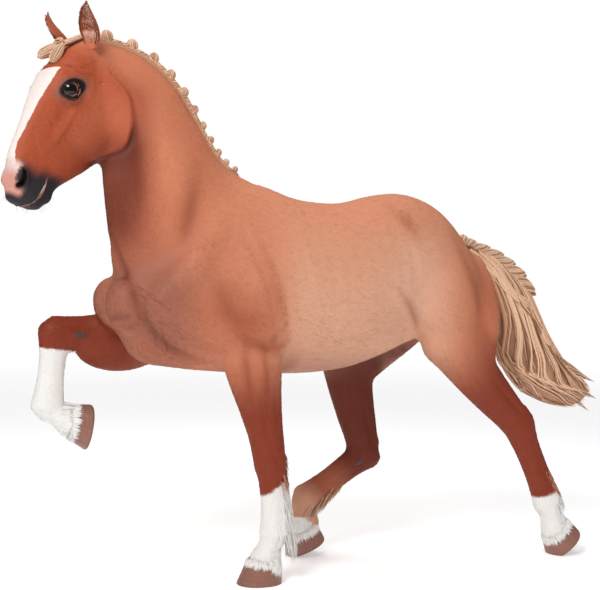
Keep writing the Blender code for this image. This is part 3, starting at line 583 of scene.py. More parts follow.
class EarFrame:
    """Where an ear starts, the way up it, the way that its cup opens, and the way across it."""

    def __init__(self, head, side):
        self.base = head(0.018, -0.022, 0.078 * side)
        self.up = head(*EAR_TIPS[side]) - self.base
        self.length = self.up.length
        self.up.normalize()
        self.open_to = (head(0, 1.0, EAR_OPENINGS[side]) - head(0, 0)).normalized()
        self.open_to = (self.open_to - self.up * self.open_to.dot(self.up)).normalized()
        self.across = self.up.cross(self.open_to)
        self.bend = EAR_BENDS[side]

    def middle(self, share, lean):
        lean += self.bend * math.sin(math.pi * max(0.0, share))
        return self.base + self.up * (share * self.length) + self.open_to * lean


def ear(head, side, around=7, steps=2):
    """(points, faces) of a cupped ear: crescents that narrow to the tip."""
    place = EarFrame(head, side)
    rows = spline(EAR_ROWS, steps)
    points = []
    for share, wide, deep, thick, lean in rows:
        middle = place.middle(share, lean)
        for skin in (0.0, thick):
            for k in range(around):
                angle = math.pi * (k / (around - 1) - 0.5) * (1 if skin == 0.0 else -1)
                reach = wide - skin
                depth = deep - skin
                points.append(middle + place.across * (reach * math.sin(angle))
                              - place.open_to * (depth * math.cos(angle)))
    ring = 2 * around
    faces = ring_faces(len(rows), ring).tolist()
    for start, flip in ((0, True), ((len(rows) - 1) * ring, False)):
        for j in range(around - 1):
            quad = (start + j, start + j + 1, start + ring - 2 - j, start + ring - 1 - j)
            faces.append(quad[::-1] if flip else quad)
    return points, faces


# ---------------------------------------------------------------- mane, forelock and tail
CREST = (
    # forward, up: the line that the mane grows from
    (0.960, 2.032), (0.905, 2.034), (0.850, 2.024), (0.800, 2.006), (0.750, 1.981), (0.700, 1.948),
    (0.647, 1.895), (0.595, 1.830), (0.548, 1.750), (0.500, 1.673), (0.445, 1.603), (0.380, 1.556),
)


def crest_line(samples):
    """Points along the crest, evenly apart, with the directions along it and out of it."""
    line = spline([(f, u) for f, u in CREST], 12)
    lengths = np.concatenate([[0], np.cumsum(np.linalg.norm(np.diff(line, axis=0), axis=1))])
    out = []
    for share in samples:
        where = share * lengths[-1]
        f = np.interp(where, lengths, line[:, 0])
        u = np.interp(where, lengths, line[:, 1])
        ahead = np.interp(where + 0.01, lengths, line[:, 0]) - np.interp(where - 0.01, lengths, line[:, 0])
        rise = np.interp(where + 0.01, lengths, line[:, 1]) - np.interp(where - 0.01, lengths, line[:, 1])
        along = Vector((0, -ahead, rise)).normalized()
        up_out = LEFT.cross(along).normalized()
        if up_out.z < 0:
            up_out.negate()
        out.append((at(f, 0, u), along, up_out))
    return out


def crest_taper(share):
    """How full the strip of hair is, at a share of the way from the poll to the withers."""
    return 0.35 + 0.65 * math.sin(math.pi * min(1.0, 0.12 + 0.80 * share))


def mane_crest():
    """(points, faces) of the strip of hair that the plaits grow from."""
    rows = []
    shares = np.linspace(0.0, 1.0, 15)
    for share, (point, along, out) in zip(shares, crest_line(shares)):
        taper = crest_taper(share)
        rows.append((point + out * CREST_HEIGHT * taper, point - out * 0.020, 0.017 * taper + 0.004,
                     0.45, 2.2, 2.2))
    return loft(rows, around=10, steps=1)


class PlaitPlace:
    """Where a button plait sits: its centre, its size, and the ways along and out of the crest."""

    def __init__(self, point, along, out, size):
        self.centre = point + out * (0.014 + 0.15 * size)
        self.size = size
        self.along = along
        self.out = out


def plait_places():
    """The places of the plaits, from the poll to the withers."""
    places = []
    order = np.linspace(0.0, 1.0, PLAITS)
    shares = 0.075 + 0.900 * order * (1.38 - 0.38 * order)
    for i, (point, along, out) in enumerate(crest_line(shares)):
        size = 0.0250 - 0.0120 * order[i]
        places.append(PlaitPlace(point, along, out, size))
    return places


FORELOCK_BRAID = ((-0.034, -0.023, 0.003), (0.004, 0.004, 0.002), (0.042, 0.031, -0.002))
FORELOCK_LEAVES = (
    # down, out and left of a leaf's start, middle and end; half height; half width
    (((0.042, 0.034, -0.008), (0.086, 0.050, -0.022), (0.128, 0.072, -0.034)), 0.017, 0.022),
    (((0.044, 0.034, 0.004), (0.088, 0.040, 0.010), (0.132, 0.040, 0.014)), 0.017, 0.026),
    (((0.042, 0.034, -0.014), (0.076, 0.047, -0.048), (0.100, 0.052, -0.074)), 0.016, 0.020),
)


def forelock_masses(head):
    """The braid from between the ears to the forehead, its knot, and the leaf-shaped loops from the knot."""
    masses = [limb([head(*p) for p in FORELOCK_BRAID],
                   ((0.0, 0.010, 0.020, 0.018), (0.5, 0.012, 0.020, 0.020), (1.0, 0.014, 0.016, 0.020)),
                   left=head.left),
              ball(head(0.044, 0.034, -0.004), (0.020, 0.018, 0.022), head.matrix())]
    fullness = ((0.0, 0.5), (0.30, 0.9), (0.62, 1.0), (0.88, 0.7), (1.0, 0.25))
    for path, high, wide in FORELOCK_LEAVES:
        rows = [(share, full * high, full * high, full * wide) for share, full in fullness]
        masses.append(limb([head(*p) for p in path], rows, left=head.left))
    return masses


TAIL = (
    # upper edge (forward, up), lower edge (forward, up), half width
    ((-0.610, 1.335), (-0.640, 1.240), 0.040), ((-0.690, 1.300), (-0.715, 1.200), 0.052),
    ((-0.832, 1.238), (-0.760, 1.100), 0.062), ((-0.962, 1.122), (-0.800, 0.930), 0.076),
    ((-1.074, 0.908), (-0.840, 0.790), 0.088), ((-1.170, 0.785), (-0.925, 0.695), 0.088),
    ((-1.268, 0.715), (-1.065, 0.618), 0.072), ((-1.325, 0.665), (-1.215, 0.580), 0.042),
)
TAIL_TIPS = (
    # where a lock leaves the tail and where it ends (forward, left, up), and its thickness
    ((-1.130, 0.000, 0.790), (-1.345, 0.000, 0.695), 0.036),
    ((-1.140, 0.000, 0.730), (-1.350, 0.010, 0.620), 0.042),
    ((-1.100, 0.030, 0.720), (-1.290, 0.030, 0.572), 0.045),
    ((-1.050, 0.010, 0.730), (-1.180, 0.010, 0.590), 0.045),
    ((-0.980, 0.030, 0.760), (-1.060, 0.020, 0.610), 0.040),
    ((-0.930, 0.000, 0.780), (-0.950, 0.000, 0.660), 0.030),
)


def tail_mass():
    """(points, faces) of the fall of the tail."""
    return loft([(at(a[0], 0, a[1]), at(b[0], 0, b[1]), width, 0.5, 2.1, 2.1) for a, b, width in TAIL])


# ---------------------------------------------------------------- arrays and meshes
def smooth(x, low, high):
    """0 below low, 1 above high, and a smooth step between them."""
    t = np.clip((np.asarray(x, float) - low) / (high - low), 0, 1)
    return t * t * (3 - 2 * t)


def unit(v):
    return v / np.maximum(np.linalg.norm(v, axis=-1, keepdims=True), 1e-12)


def from_path(points, path):
    """For each point: its distance from the path of points, the share along it, and the nearest bit's way."""
    path = np.asarray(path, float)
    step = np.diff(path, axis=0)
    lengths = np.linalg.norm(step, axis=1)
    starts = np.concatenate([[0], np.cumsum(lengths)])
    best = np.full(len(points), 1e9)
    share = np.zeros(len(points))
    way = np.zeros_like(points)
    for i, s in enumerate(step):
        t = np.clip(((points - path[i]) @ s) / (lengths[i] ** 2), 0, 1)
        gap = points - (path[i] + t[:, None] * s)
        d = np.linalg.norm(gap, axis=1)
        closer = d < best
        best[closer] = d[closer]
        share[closer] = (starts[i] + t[closer] * lengths[i]) / starts[-1]
        way[closer] = s / lengths[i]
    return best, share, way


def mesh_from(name, points, faces):
    """A mesh object from an array of points and arrays of faces, each with three or four corners."""
    points = np.asarray(points, np.float32)
    counts = np.concatenate([np.full(len(f), f.shape[1], np.int32) for f in faces])
    corners = np.concatenate([f.astype(np.int32).ravel() for f in faces])
    mesh = bpy.data.meshes.new(name)
    mesh.vertices.add(len(points))
    mesh.vertices.foreach_set("co", points.ravel())
    mesh.loops.add(len(corners))
    mesh.loops.foreach_set("vertex_index", corners)
    mesh.polygons.add(len(counts))
    starts = np.concatenate([[0], np.cumsum(counts)[:-1]]).astype(np.int32)
    mesh.polygons.foreach_set("loop_start", starts)
    mesh.update(calc_edges=True)
    mesh.polygons.foreach_set("use_smooth", np.ones(len(counts), bool))
    obj = bpy.data.objects.new(name, mesh)
    bpy.context.scene.collection.objects.link(obj)
    return obj


def paint(obj, colours):
    """Gives each point of a piece its own colour, or all of them the same one."""
    rgba = np.ones((len(obj.data.vertices), 4), np.float32)
    rgba[:, :3] = colours
    layer = obj.data.color_attributes.new("hide", "FLOAT_COLOR", "POINT")
    layer.data.foreach_set("color", rgba.ravel())


def piece(obj, slot, material, *nodes):
    """Ties a piece to the model: what it rides on, its material, and the nodes it stands for. Its slot is not
    used.
    """
    obj.data.materials.clear()
    obj.data.materials.append(material)
    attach(obj, "root")
    if nodes:
        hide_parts(*nodes)
    return obj


# ---------------------------------------------------------------- the skin's form
class Skin:
    """The skin's points as arrays, with the measures that relief and colour are given in."""

    def __init__(self, mesh):
        self.mesh = mesh
        self.co = points_of(mesh)
        self.cavity = np.zeros(len(self.co))
        self.dark = np.zeros(len(self.co))  # how far inside a nostril each point lies, for the painted shade in its hollow
        self.measure()

    def measure(self):
        """Takes the places and normals of all points again."""
        move_points(self.mesh, self.co)
        self.normal = normals_of(self.mesh)
        places = body_places(self.co)
        self.side = places[:, [0, 2]]
        self.left = places[:, 1]
        self.face = head_places(self.co)

    def move(self, chosen, amount):
        """Moves chosen points out along their normals, and notes what sinks as hollow."""
        self.co[chosen] += self.normal[chosen] * amount[:, None]
        self.cavity[chosen] += np.clip(-amount, 0, None)


def body_places(co):
    """Forward, left and up of each point."""
    return np.stack([-(co[:, 1] + ORIGIN.y), co[:, 0] + ORIGIN.x, co[:, 2]], axis=1)


def head_places(co):
    """Down the face, out of the forehead, and to the left, of each point."""
    rel = (co - np.array(HEAD.origin)) / HEAD_SIZE
    return np.stack([rel @ np.array(HEAD.down), rel @ np.array(HEAD.out), rel @ np.array(HEAD.left)], axis=1)


def line_profile(kind, distance, side, share, radius):
    """The shape across and along a relief line, from -1 to 1."""
    x = distance / radius
    ends = np.sin(np.pi * np.clip(0.06 + 0.88 * share, 0, 1)) ** 0.6
    if kind == "fold":  # one side stands higher than the other
        return ends * 2.33 * (side * x) * np.exp(-x * x * 2)
    return ends * np.exp(-x * x * 2)


def relief(skin, points, kind, height, radius, path, near):
    """One line of relief: a ridge, groove or fold along a path, in the plane or space of the points.
    `near` says how much of it each point takes."""
    path = spline(path, 5) if len(path) > 2 else np.asarray(path, float)
    low = path.min(0) - 2.2 * radius
    high = path.max(0) + 2.2 * radius
    chosen = np.where((near > 0) & np.all((points > low) & (points < high), axis=1))[0]
    if not len(chosen):
        return
    distance, share, way = from_path(points[chosen], path)
    side = 0
    if kind == "fold":
        nearest = np.array([np.interp(share, np.linspace(0, 1, len(path)), path[:, k]) for k in (0, 1)]).T
        gap = points[chosen][:, :2] - nearest
        side = np.sign(way[:, 0] * gap[:, 1] - way[:, 1] * gap[:, 0])
    skin.move(chosen, height * near[chosen] * line_profile(kind, distance, side, share, radius))


JUGULAR = ((0.845, 1.780), (0.800, 1.580), (0.790, 1.450), (0.800, 1.330))  # forward and up
SHOULDER_LINE = ((0.560, 1.570), (0.610, 1.410), (0.670, 1.230))  # forward and up, where the neck ends
BREAST_CREASE = ((0.880, 0.025, 1.300), (0.850, 0.075, 1.185), (0.825, 0.160, 1.085), (0.805, 0.170, 1.020))
BREAST_FOLD = ((0.805, 0.170, 1.020), (0.720, 0.150, 0.920), (0.560, 0.120, 0.850))  # forward, left and up
BODY_RELIEF = (
    # kind, height, radius, sides (1 left, -1 right, 0 both), path in forward and up
    ("groove", -0.0095, 0.058, 0, SHOULDER_LINE),
    ("ridge", 0.0080, 0.080, 0, ((0.470, 1.440), (0.520, 1.340), (0.575, 1.235))),
    ("ridge", 0.0090, 0.070, 0, ((0.560, 1.260), (0.640, 1.190), (0.700, 1.120))),
    ("groove", -0.0085, 0.040, 0, JUGULAR),
    ("ridge", 0.0055, 0.046, 0, ((0.800, 1.740), (0.768, 1.595), (0.755, 1.448), (0.770, 1.302))),
    ("ridge", 0.0065, 0.090, 0, ((0.800, 1.900), (0.710, 1.760), (0.680, 1.600), (0.660, 1.450))),
    ("ridge", 0.0050, 0.080, 0, ((0.760, 1.940), (0.650, 1.830), (0.560, 1.690))),
    ("groove", -0.0080, 0.056, 1, ((0.530, 1.190), (0.505, 1.105), (0.465, 1.020), (0.425, 0.965))),
    ("ridge", 0.0110, 0.078, 1, ((0.400, 1.240), (0.370, 1.120), (0.350, 1.020))),
    ("fold", 0.0115, 0.034, 1,
     ((0.455, 0.950), (0.410, 0.925), (0.345, 0.912), (0.290, 0.925), (0.262, 0.960))),
    ("fold", -0.0085, 0.034, 1,
     ((0.390, 1.310), (0.350, 1.215), (0.316, 1.120), (0.292, 1.010), (0.282, 0.900))),
    ("groove", -0.0080, 0.056, -1, ((0.640, 1.170), (0.625, 1.090), (0.640, 1.010))),
    ("ridge", 0.0090, 0.080, -1, ((0.460, 1.240), (0.480, 1.120), (0.540, 1.020))),
    ("fold", -0.0070, 0.040, -1, ((0.400, 1.250), (0.380, 1.130), (0.400, 1.020), (0.460, 0.930))),
    ("ridge", 0.0030, 0.060, 0, ((0.180, 1.380), (0.150, 1.200), (0.120, 1.030))),
    ("groove", -0.0060, 0.080, 0, ((-0.180, 1.330), (-0.250, 1.200), (-0.300, 1.080))),
    ("ridge", 0.0085, 0.060, 0, ((-0.215, 1.430), (-0.262, 1.370))),
    ("fold", 0.0095, 0.038, 0,
     ((-0.200, 1.105), (-0.245, 1.060), (-0.295, 1.000), (-0.350, 0.930), (-0.400, 0.870))),
    ("groove", -0.0055, 0.050, 0, ((-0.515, 1.310), (-0.555, 1.190), (-0.585, 1.080), (-0.610, 0.960))),
    ("ridge", 0.0070, 0.090, 0, ((-0.350, 1.330), (-0.430, 1.180), (-0.450, 1.020))),
)
RIBS = 9  # that show faintly on each side

BREAST_RELIEF = (
    # kind, height, radius, path in forward, left and up, mirrored to the other side
    ("groove", -0.0110, 0.030, BREAST_CREASE),
    ("groove", -0.0085, 0.026, BREAST_FOLD),
    ("ridge", 0.0070, 0.034, ((0.880, 0.140, 1.130), (0.895, 0.110, 1.060))),
    ("ridge", 0.0060, 0.030, ((0.790, 0.190, 1.080), (0.760, 0.195, 1.010), (0.700, 0.185, 0.955))),
    ("groove", -0.0060, 0.020, ((0.892, 0.030, 1.020), (0.880, 0.120, 1.010), (0.840, 0.160, 1.020))),
)
WRINKLES = 40  # of the thin skin over the breast, on each side


def body_relief(skin):
    """The muscles, grooves and folds of the neck, trunk and thighs."""
    sideways = smooth(np.abs(skin.normal[:, 0]), 0.05, 0.60)
    for kind, height, radius, sides, path in BODY_RELIEF:
        for side in (1, -1):
            if sides in (0, side):
                near = sideways * smooth(skin.left * side, 0.01, 0.05)
                relief(skin, skin.side, kind, height, radius, path, near)
    for rib in range(RIBS):
        forward = 0.20 - 0.058 * rib
        path = [(forward, 1.36), (forward - 0.035, 1.20), (forward - 0.045, 1.04)]
        relief(skin, skin.side, "ridge", 0.0007, 0.022, path, sideways)


def breast_relief(skin, places, rng):
    """The folds and fine wrinkles of the breast."""
    anywhere = np.ones(len(skin.co))
    for kind, height, radius, path in BREAST_RELIEF:
        for side in (1, -1):
            mirrored = [(f, u, left * side) for f, left, u in path]
            relief(skin, places[:, [0, 2, 1]], kind, height, radius, mirrored, anywhere)
    for side in (1, -1):
        for _ in range(WRINKLES):
            f = rng.uniform(0.70, 0.85)
            u = 1.12 - (0.87 - f) * 1.25 + rng.uniform(-0.06, 0.10)
            run = rng.uniform(0.025, 0.070)
            bend = rng.uniform(-0.014, 0.014)
            path = [(f, u), (f - run * 0.5, u - run * 0.35 + bend),
                    (f - run, u - run * rng.uniform(0.5, 1.1))]
            near = (skin.left * side > 0.06) & (skin.side[:, 0] > 0.6)
            relief(skin, skin.side, "groove", -0.0022, rng.uniform(0.0035, 0.0060), path, near)


CANNON_RELIEF = (
    # kind, height, radius, bone, shares along it, to the back, and out as a share of the sides
    ("groove", -0.0036, 0.011, "cannon", (0.16, 0.40, 0.65, 0.86), 0.020, 1.0),
    ("ridge", 0.0020, 0.010, "cannon", (0.16, 0.40, 0.65, 0.86), 0.038, 0.8),
    ("ridge", 0.0033, 0.020, "pastern", (-0.1, 0.08), 0.028, 1.0),
    ("groove", -0.0026, 0.013, "pastern", (0.25, 0.65), 0.018, 1.0),
)
FOREARM_RELIEF = (
    ("groove", -0.0046, 0.020, "upper", (0.12, 0.35, 0.62, 0.84), -0.018, 1.0),
    ("groove", -0.0039, 0.018, "upper", (0.20, 0.45, 0.78), 0.030, 1.0),
    ("ridge", 0.0033, 0.020, "upper", (0.94, 1.0), -0.020, 0.9),
    ("groove", -0.0026, 0.010, "upper", (0.90, 1.08), 0.014, 1.0),
)
GASKIN_RELIEF = (
    ("groove", -0.0078, 0.022, "upper", (0.55, 0.72, 0.90), 0.034, 1.0),
    ("ridge", 0.0033, 0.018, "upper", (0.94, 1.04), -0.010, 1.0),
    ("groove", -0.0039, 0.024, "upper", (0.10, 0.35, 0.60), -0.020, 1.6),
)
BACK_OF_KNEE = (("ridge", 0.0065, 0.022, "upper", (0.955, 0.99), 0.052, 0.0),)
POINT_OF_HOCK = (("ridge", 0.0072, 0.026, "upper", (0.90, 0.97), 0.070, 0.0),)


def leg_relief(skin, leg):
    """Tendons, joints and muscle edges of one leg, on its inner and outer side."""
    _, ahead, left = leg.lower_frame()
    front = (leg.knee_or_hock - leg.top).normalized().cross(LEFT).normalized()
    if not leg.fore and front.y > 0:
        front.negate()
    bones = {
        "upper": (leg.top, leg.knee_or_hock, np.array(front)),
        "cannon": (leg.knee_or_hock, leg.fetlock, ahead),
        "pastern": (leg.fetlock, leg.coronet, ahead),
    }
    near = np.linalg.norm(skin.co - np.array(leg.knee_or_hock), axis=1) < 0.62
    near &= skin.left * leg.side > 0.02

    def lines(table, *sides):
        for out in sides:
            for kind, height, radius, bone, shares, back, share in table:
                start, end, way = bones[bone]
                path = [np.array(start.lerp(end, s)) - way * back + left * (out * share) for s in shares]
                relief(skin, skin.co, kind, height, radius, path, near)

    lines(CANNON_RELIEF, 0.046, -0.046)
    if leg.fore:
        lines(FOREARM_RELIEF, 0.055, -0.055)
        lines(BACK_OF_KNEE, 0.0)
        knee = np.array(leg.knee.lerp(leg.fetlock, 0.02)) + ahead * 0.055
        across = [knee, knee, np.array(leg.knee) + ahead * 0.05 + left * 0.03]
        relief(skin, skin.co, "groove", -0.0026, 0.012, across, near)
    else:
        lines(GASKIN_RELIEF, 0.042, -0.042)
        lines(POINT_OF_HOCK, 0.0)


CHEEK_EDGE = ((0.060, -0.135), (0.095, -0.220), (0.180, -0.280), (0.265, -0.300), (0.340, -0.260))
HEAD_RELIEF = (
    # kind, height, radius, path down the face and out of the forehead, on both sides
    ("fold", 0.0100, 0.017, CHEEK_EDGE),
    ("groove", -0.0030, 0.026, ((0.352, -0.240), (0.350, -0.200), (0.335, -0.160), (0.300, -0.125))),
    ("ridge", 0.0036, 0.014, ((0.236, -0.082), (0.275, -0.090), (0.330, -0.092), (0.385, -0.088))),
    ("groove", -0.0030, 0.022, ((0.250, -0.050), (0.320, -0.058), (0.400, -0.062))),
    ("groove", -0.0030, 0.024, ((0.400, -0.020), (0.440, -0.045), (0.450, -0.080), (0.440, -0.115))),
    ("ridge", 0.0025, 0.016, ((0.280, 0.020), (0.360, 0.010), (0.440, 0.004))),
    ("ridge", 0.0009, 0.0048,
     ((0.335, -0.215), (0.318, -0.170), (0.318, -0.130), (0.345, -0.075), (0.352, -0.030))),
    ("groove", -0.0022, 0.018, ((0.090, -0.170), (0.150, -0.215), (0.220, -0.230))),
    ("ridge", 0.0035, 0.018, ((0.120, -0.100), (0.165, -0.108), (0.215, -0.098))),
    ("fold", -0.0060, 0.012, ((0.098, -0.062), (0.116, -0.032), (0.126, -0.002), (0.128, 0.020))),
    ("fold", 0.0030, 0.009, ((0.066, -0.040), (0.074, -0.012), (0.080, 0.006))),
    ("groove", -0.0025, 0.006, ((0.490, -0.122), (0.478, -0.140), (0.480, -0.160))),
    ("groove", -0.0020, 0.005, ((0.478, -0.112), (0.463, -0.134), (0.464, -0.158))),
    ("groove", -0.0022, 0.006, ((0.512, -0.172), (0.545, -0.178), (0.572, -0.186))),
)


HEAD_DENTS = (
    # place down, out and left, size, depth; the same on both sides
    ((0.122, 0.012, 0.080), 0.026, -0.0085), ((0.165, 0.014, 0.072), 0.016, 0.0050),
    ((0.230, 0.012, 0.062), 0.016, 0.0025), ((0.250, -0.060, 0.080), 0.018, -0.0030),
)


def head_relief(skin):
    """The flat bones, muscles and veins of the head, the same on both sides."""
    for side in (1, -1):
        near = (skin.face[:, 2] * side > 0.012) & (skin.face[:, 0] > -0.1)
        near &= np.abs(skin.face[:, 2]) < 0.18
        for kind, height, radius, path in HEAD_RELIEF:
            relief(skin, skin.face[:, :2], kind, height, radius, path, near)
        for where, size, depth in HEAD_DENTS:
            dent(skin, where, side, size, depth)


def dent(skin, where, side, size, depth):
    """A round hollow or swelling at a place on the head."""
    centre = np.array(where) * (1, 1, side)
    away = np.linalg.norm(skin.face - centre, axis=1)
    chosen = np.where(away < 2.4 * size)[0]
    skin.move(chosen, depth * np.exp(-((away[chosen] / size) ** 2)))


# ---------------------------------------------------------------- eyes, nostrils and mouth in the skin
class Eye:
    """An eye's centre and the directions out of it, along its slit towards the nose, and across the slit."""

    def __init__(self, side):
        self.side = side
        self.label = "left" if side > 0 else "right"
        self.centre = np.array(HEAD(*EYE_PLACE, 0.0775 * side))
        out = HEAD.left * side * 0.93 + HEAD.out * 0.30 + HEAD.down * 0.12
        self.gaze = np.array(out.normalized())
        slit = HEAD.down * 0.76 + HEAD.out * 0.60
        slit = np.array(slit) - self.gaze * float(np.array(slit) @ self.gaze)
        self.slit = unit(slit)
        self.above = unit(np.cross(self.slit, self.gaze) * side)

    def edge(self, x):
        """The upper and lower edge of the opening above a place along the slit, both from its middle line."""
        t = np.clip(np.abs(x) / EYE_HALF_LENGTH, 0, 1)
        droop = -0.0030 * np.sign(x) * t**2
        return EYE_UPPER * (1 - t**2.3) + droop, -EYE_LOWER * (1 - t**2.0) + droop

    def place(self, co):
        """Along the slit, above it, and out of the head, for each point."""
        rel = co - self.centre
        return np.stack([rel @ self.slit, rel @ self.above, rel @ self.gaze], axis=1)

    def way(self, place):
        """The way on the horse that such measures stand for."""
        return place[:, [0]] * self.slit + place[:, [1]] * self.above + place[:, [2]] * self.gaze


LID_FOLDS = (
    # distance from the edge of the opening (below the lower one if negative), depth, breadth
    (0.0085, -0.0022, 0.0032), (0.0150, -0.0016, 0.0036), (-0.0085, -0.0015, 0.0030),
    (0.0210, 0.0026, 0.0060), (-0.0150, -0.0009, 0.0035),
)


def lids(skin, eye):
    """Raises the lids over the eyeball and opens them."""
    place = eye.place(skin.co)
    away = np.linalg.norm(place, axis=1)
    chosen = np.where((away < 0.085) & (place[:, 2] > 0.002))[0]
    x, y, _ = place[chosen].T
    s = away[chosen]
    blend = 0.0050
    lifted = np.log(np.exp((s - LID) / blend) + 1) * blend + LID
    upper, lower = eye.edge(x)
    outside_ends = np.abs(x) > EYE_HALF_LENGTH
    inside = np.minimum(upper - y, y - lower)
    inside = np.where(outside_ends, -1, inside)
    opened = smooth(inside, -0.0002, 0.0022)
    target = lifted * (1 - opened) + (EYEBALL - 0.008) * opened
    rim = np.exp(-((inside + 0.0035) / 0.0030) ** 2)
    target += 0.0012 * rim * (1 - opened)
    direction = place[chosen] / s[:, None]
    skin.co[chosen] = eye.centre + eye.way(direction * target[:, None])
    skin.cavity[chosen] += 0.004 * opened
    reach = 1.25 * EYE_HALF_LENGTH
    for offset, depth, radius in LID_FOLDS:
        edge = upper if offset > 0 else lower
        spread = np.exp(-(((y - edge - offset) / radius) ** 2) * 1.5) * (np.abs(x) < reach)
        spread *= np.cos(np.clip(x / reach, -1, 1) * math.pi / 2) ** 0.7
        amount = depth * spread
        skin.co[chosen] += eye.way(direction) * amount[:, None]
        skin.cavity[chosen] += np.clip(-amount, 0, None)


NOSTRIL = (
    # down, out, left of the opening's middle line, from its upper back to its lower front
    (0.512, -0.010, 0.050), (0.524, -0.032, 0.060), (0.548, -0.050, 0.060), (0.576, -0.056, 0.054),
    (0.594, -0.046, 0.046), (0.598, -0.034, 0.040),
)
NOSTRIL_WIDTH = (0.0050, 0.0075, 0.0095, 0.0120, 0.0125, 0.0090)
MOUTH = (
    # down, out, left of the parting of the lips, from its corner to the front
    (0.500, -0.132, 0.056), (0.520, -0.138, 0.054), (0.545, -0.139, 0.050), (0.570, -0.138, 0.046),
    (0.594, -0.132, 0.038), (0.612, -0.124, 0.026), (0.622, -0.118, 0.013), (0.626, -0.116, 0.000),
)


def nostril(skin, side):
    """The comma-shaped nostril with its raised rim, and the deep hollow behind it, marked for painted shade.
    """
    path = spline(np.array(NOSTRIL) * (1, 1, side), 5)
    chosen = np.where(np.linalg.norm(skin.face - (0.56, -0.04, 0.05 * side), axis=1) < 0.09)[0]
    distance, share, _ = from_path(skin.face[chosen], path)
    width = np.interp(share, np.linspace(0, 1, len(NOSTRIL_WIDTH)), NOSTRIL_WIDTH)
    deep = 1 - smooth(distance, 0.55 * width, 1.15 * width)
    rim = np.exp(-(((distance - 1.55 * width) / (0.75 * width)) ** 2))
    rim *= np.sin(np.pi * np.clip(share * 0.9 + 0.12, 0, 1)) ** 0.5
    skin.move(chosen, 0.0042 * rim * (1 - deep))
    inward = np.array(HEAD.left) * -side * 0.80 - np.array(HEAD.down) * 0.50 - np.array(HEAD.out) * 0.05
    skin.co[chosen] += inward * (0.030 * deep * smooth(share, -0.3, 0.6))[:, None]
    skin.cavity[chosen] += 0.03 * deep
    skin.dark[chosen] = np.maximum(skin.dark[chosen], 1 - smooth(distance, 0.50 * width, 1.90 * width))


def mouth_line():
    """The parting of the lips from its left corner, round the front, to the right corner."""
    left = np.array(MOUTH)
    right = left[:-1][::-1] * (1, 1, -1)
    return spline(np.vstack([left, right]), 4)


def mouth(skin):
    """The parting of the lips, with a rounded edge to each."""
    path = mouth_line()
    chosen = np.where((skin.face[:, 0] > 0.46) & (skin.face[:, 1] < -0.05) & (skin.face[:, 1] > -0.24))[0]
    distance, share, _ = from_path(skin.face[chosen], path)
    ends = np.sin(np.pi * share) ** 0.35
    open_to = 0.0030 + 0.0020 * ends
    parted = 1 - smooth(distance, 0.35 * open_to, 1.0 * open_to)
    lip = np.exp(-(((distance - 0.0085) / 0.0045) ** 2))
    skin.move(chosen, 0.0026 * lip * ends)
    skin.move(chosen, -0.0130 * parted * ends)


# ---------------------------------------------------------------- making the skin
def refined(mesh, wanted):
    """The mesh with the faces inside the wanted region divided in four."""
    work = bmesh.new()
    work.from_mesh(mesh)
    co = np.array([v.co for v in work.verts])
    keep = wanted(co)
    edges = [e for e in work.edges if keep[e.verts[0].index] and keep[e.verts[1].index]]
    bmesh.ops.subdivide_edges(work, edges=edges, cuts=1, use_grid_fill=True, smooth=0)
    work.to_mesh(mesh)
    work.free()
    return mesh


def even(mesh, chosen_of, steps):
    """Evens out the chosen points between their neighbours."""
    co = points_of(mesh)
    chosen = chosen_of(co)
    neighbours = Neighbours(mesh, chosen)
    for _ in range(steps):
        co += 0.4 * (neighbours.pull(co) * chosen[:, None])
    move_points(mesh, co)


def near_head(co):
    face = head_places(co)
    return (face[:, 0] > -0.13) & (face[:, 1] > -0.36) & (np.abs(face[:, 2]) < 0.20) & (face[:, 1] < 0.16)


def near_features(co):
    """The eyes, nostrils and lips, which need the finest faces."""
    face = head_places(co)
    keep = np.zeros(len(co), bool)
    for side in (1, -1):
        eye = (*EYE_PLACE, 0.100 * side)
        keep |= np.linalg.norm(face - eye, axis=1) < 0.060
        keep |= np.linalg.norm(face - (0.556, -0.040, 0.050 * side), axis=1) < 0.052
    distance, _, _ = from_path(face, mouth_line())
    return keep | ((distance < 0.018) & near_head(co))


def subdivided(obj, levels):
    """The object's mesh after so many rounds of subdivision."""
    soft = obj.modifiers.new("soft", "SUBSURF")
    soft.levels = levels
    soft.render_levels = levels
    mesh = evaluated(obj)
    obj.modifiers.clear()
    obj.data = mesh
    return obj


def with_ears(body):
    """The body with its ears grown out of the head."""
    for side in (1, -1):
        solid = join([ear(HEAD, side, around=13, steps=3)], "ear")
        union = body.modifiers.new("ear", "BOOLEAN")
        union.object = solid
        union.operation = "UNION"
        union.solver = "EXACT"
        mesh = evaluated(body)
        body.modifiers.clear()
        body.data = mesh
        bpy.data.objects.remove(solid)

    def base(co):
        face = head_places(co)
        low = np.zeros(len(co), bool)
        for side in (1, -1):
            low |= np.linalg.norm(face - (0.020, -0.010, 0.080 * side), axis=1) < 0.052
        return low

    even(body.data, base, 4)
    return body


CROUP_STEPS = 40  # of evening, so that the croup's masses read as one curve


def croup(co):
    """The croup and buttocks, above the gaskins."""
    f, left, u = body_places(co).T
    return (f < -0.34) & (u > 0.98) & (np.abs(left) < 0.30)


def breast(co):
    """The breast and the front of the shoulders, whose wrinkles need finer faces."""
    f, left, u = body_places(co).T
    return (f > 0.62) & (u > 0.86) & (u < 1.30) & (np.abs(left) < 0.24)


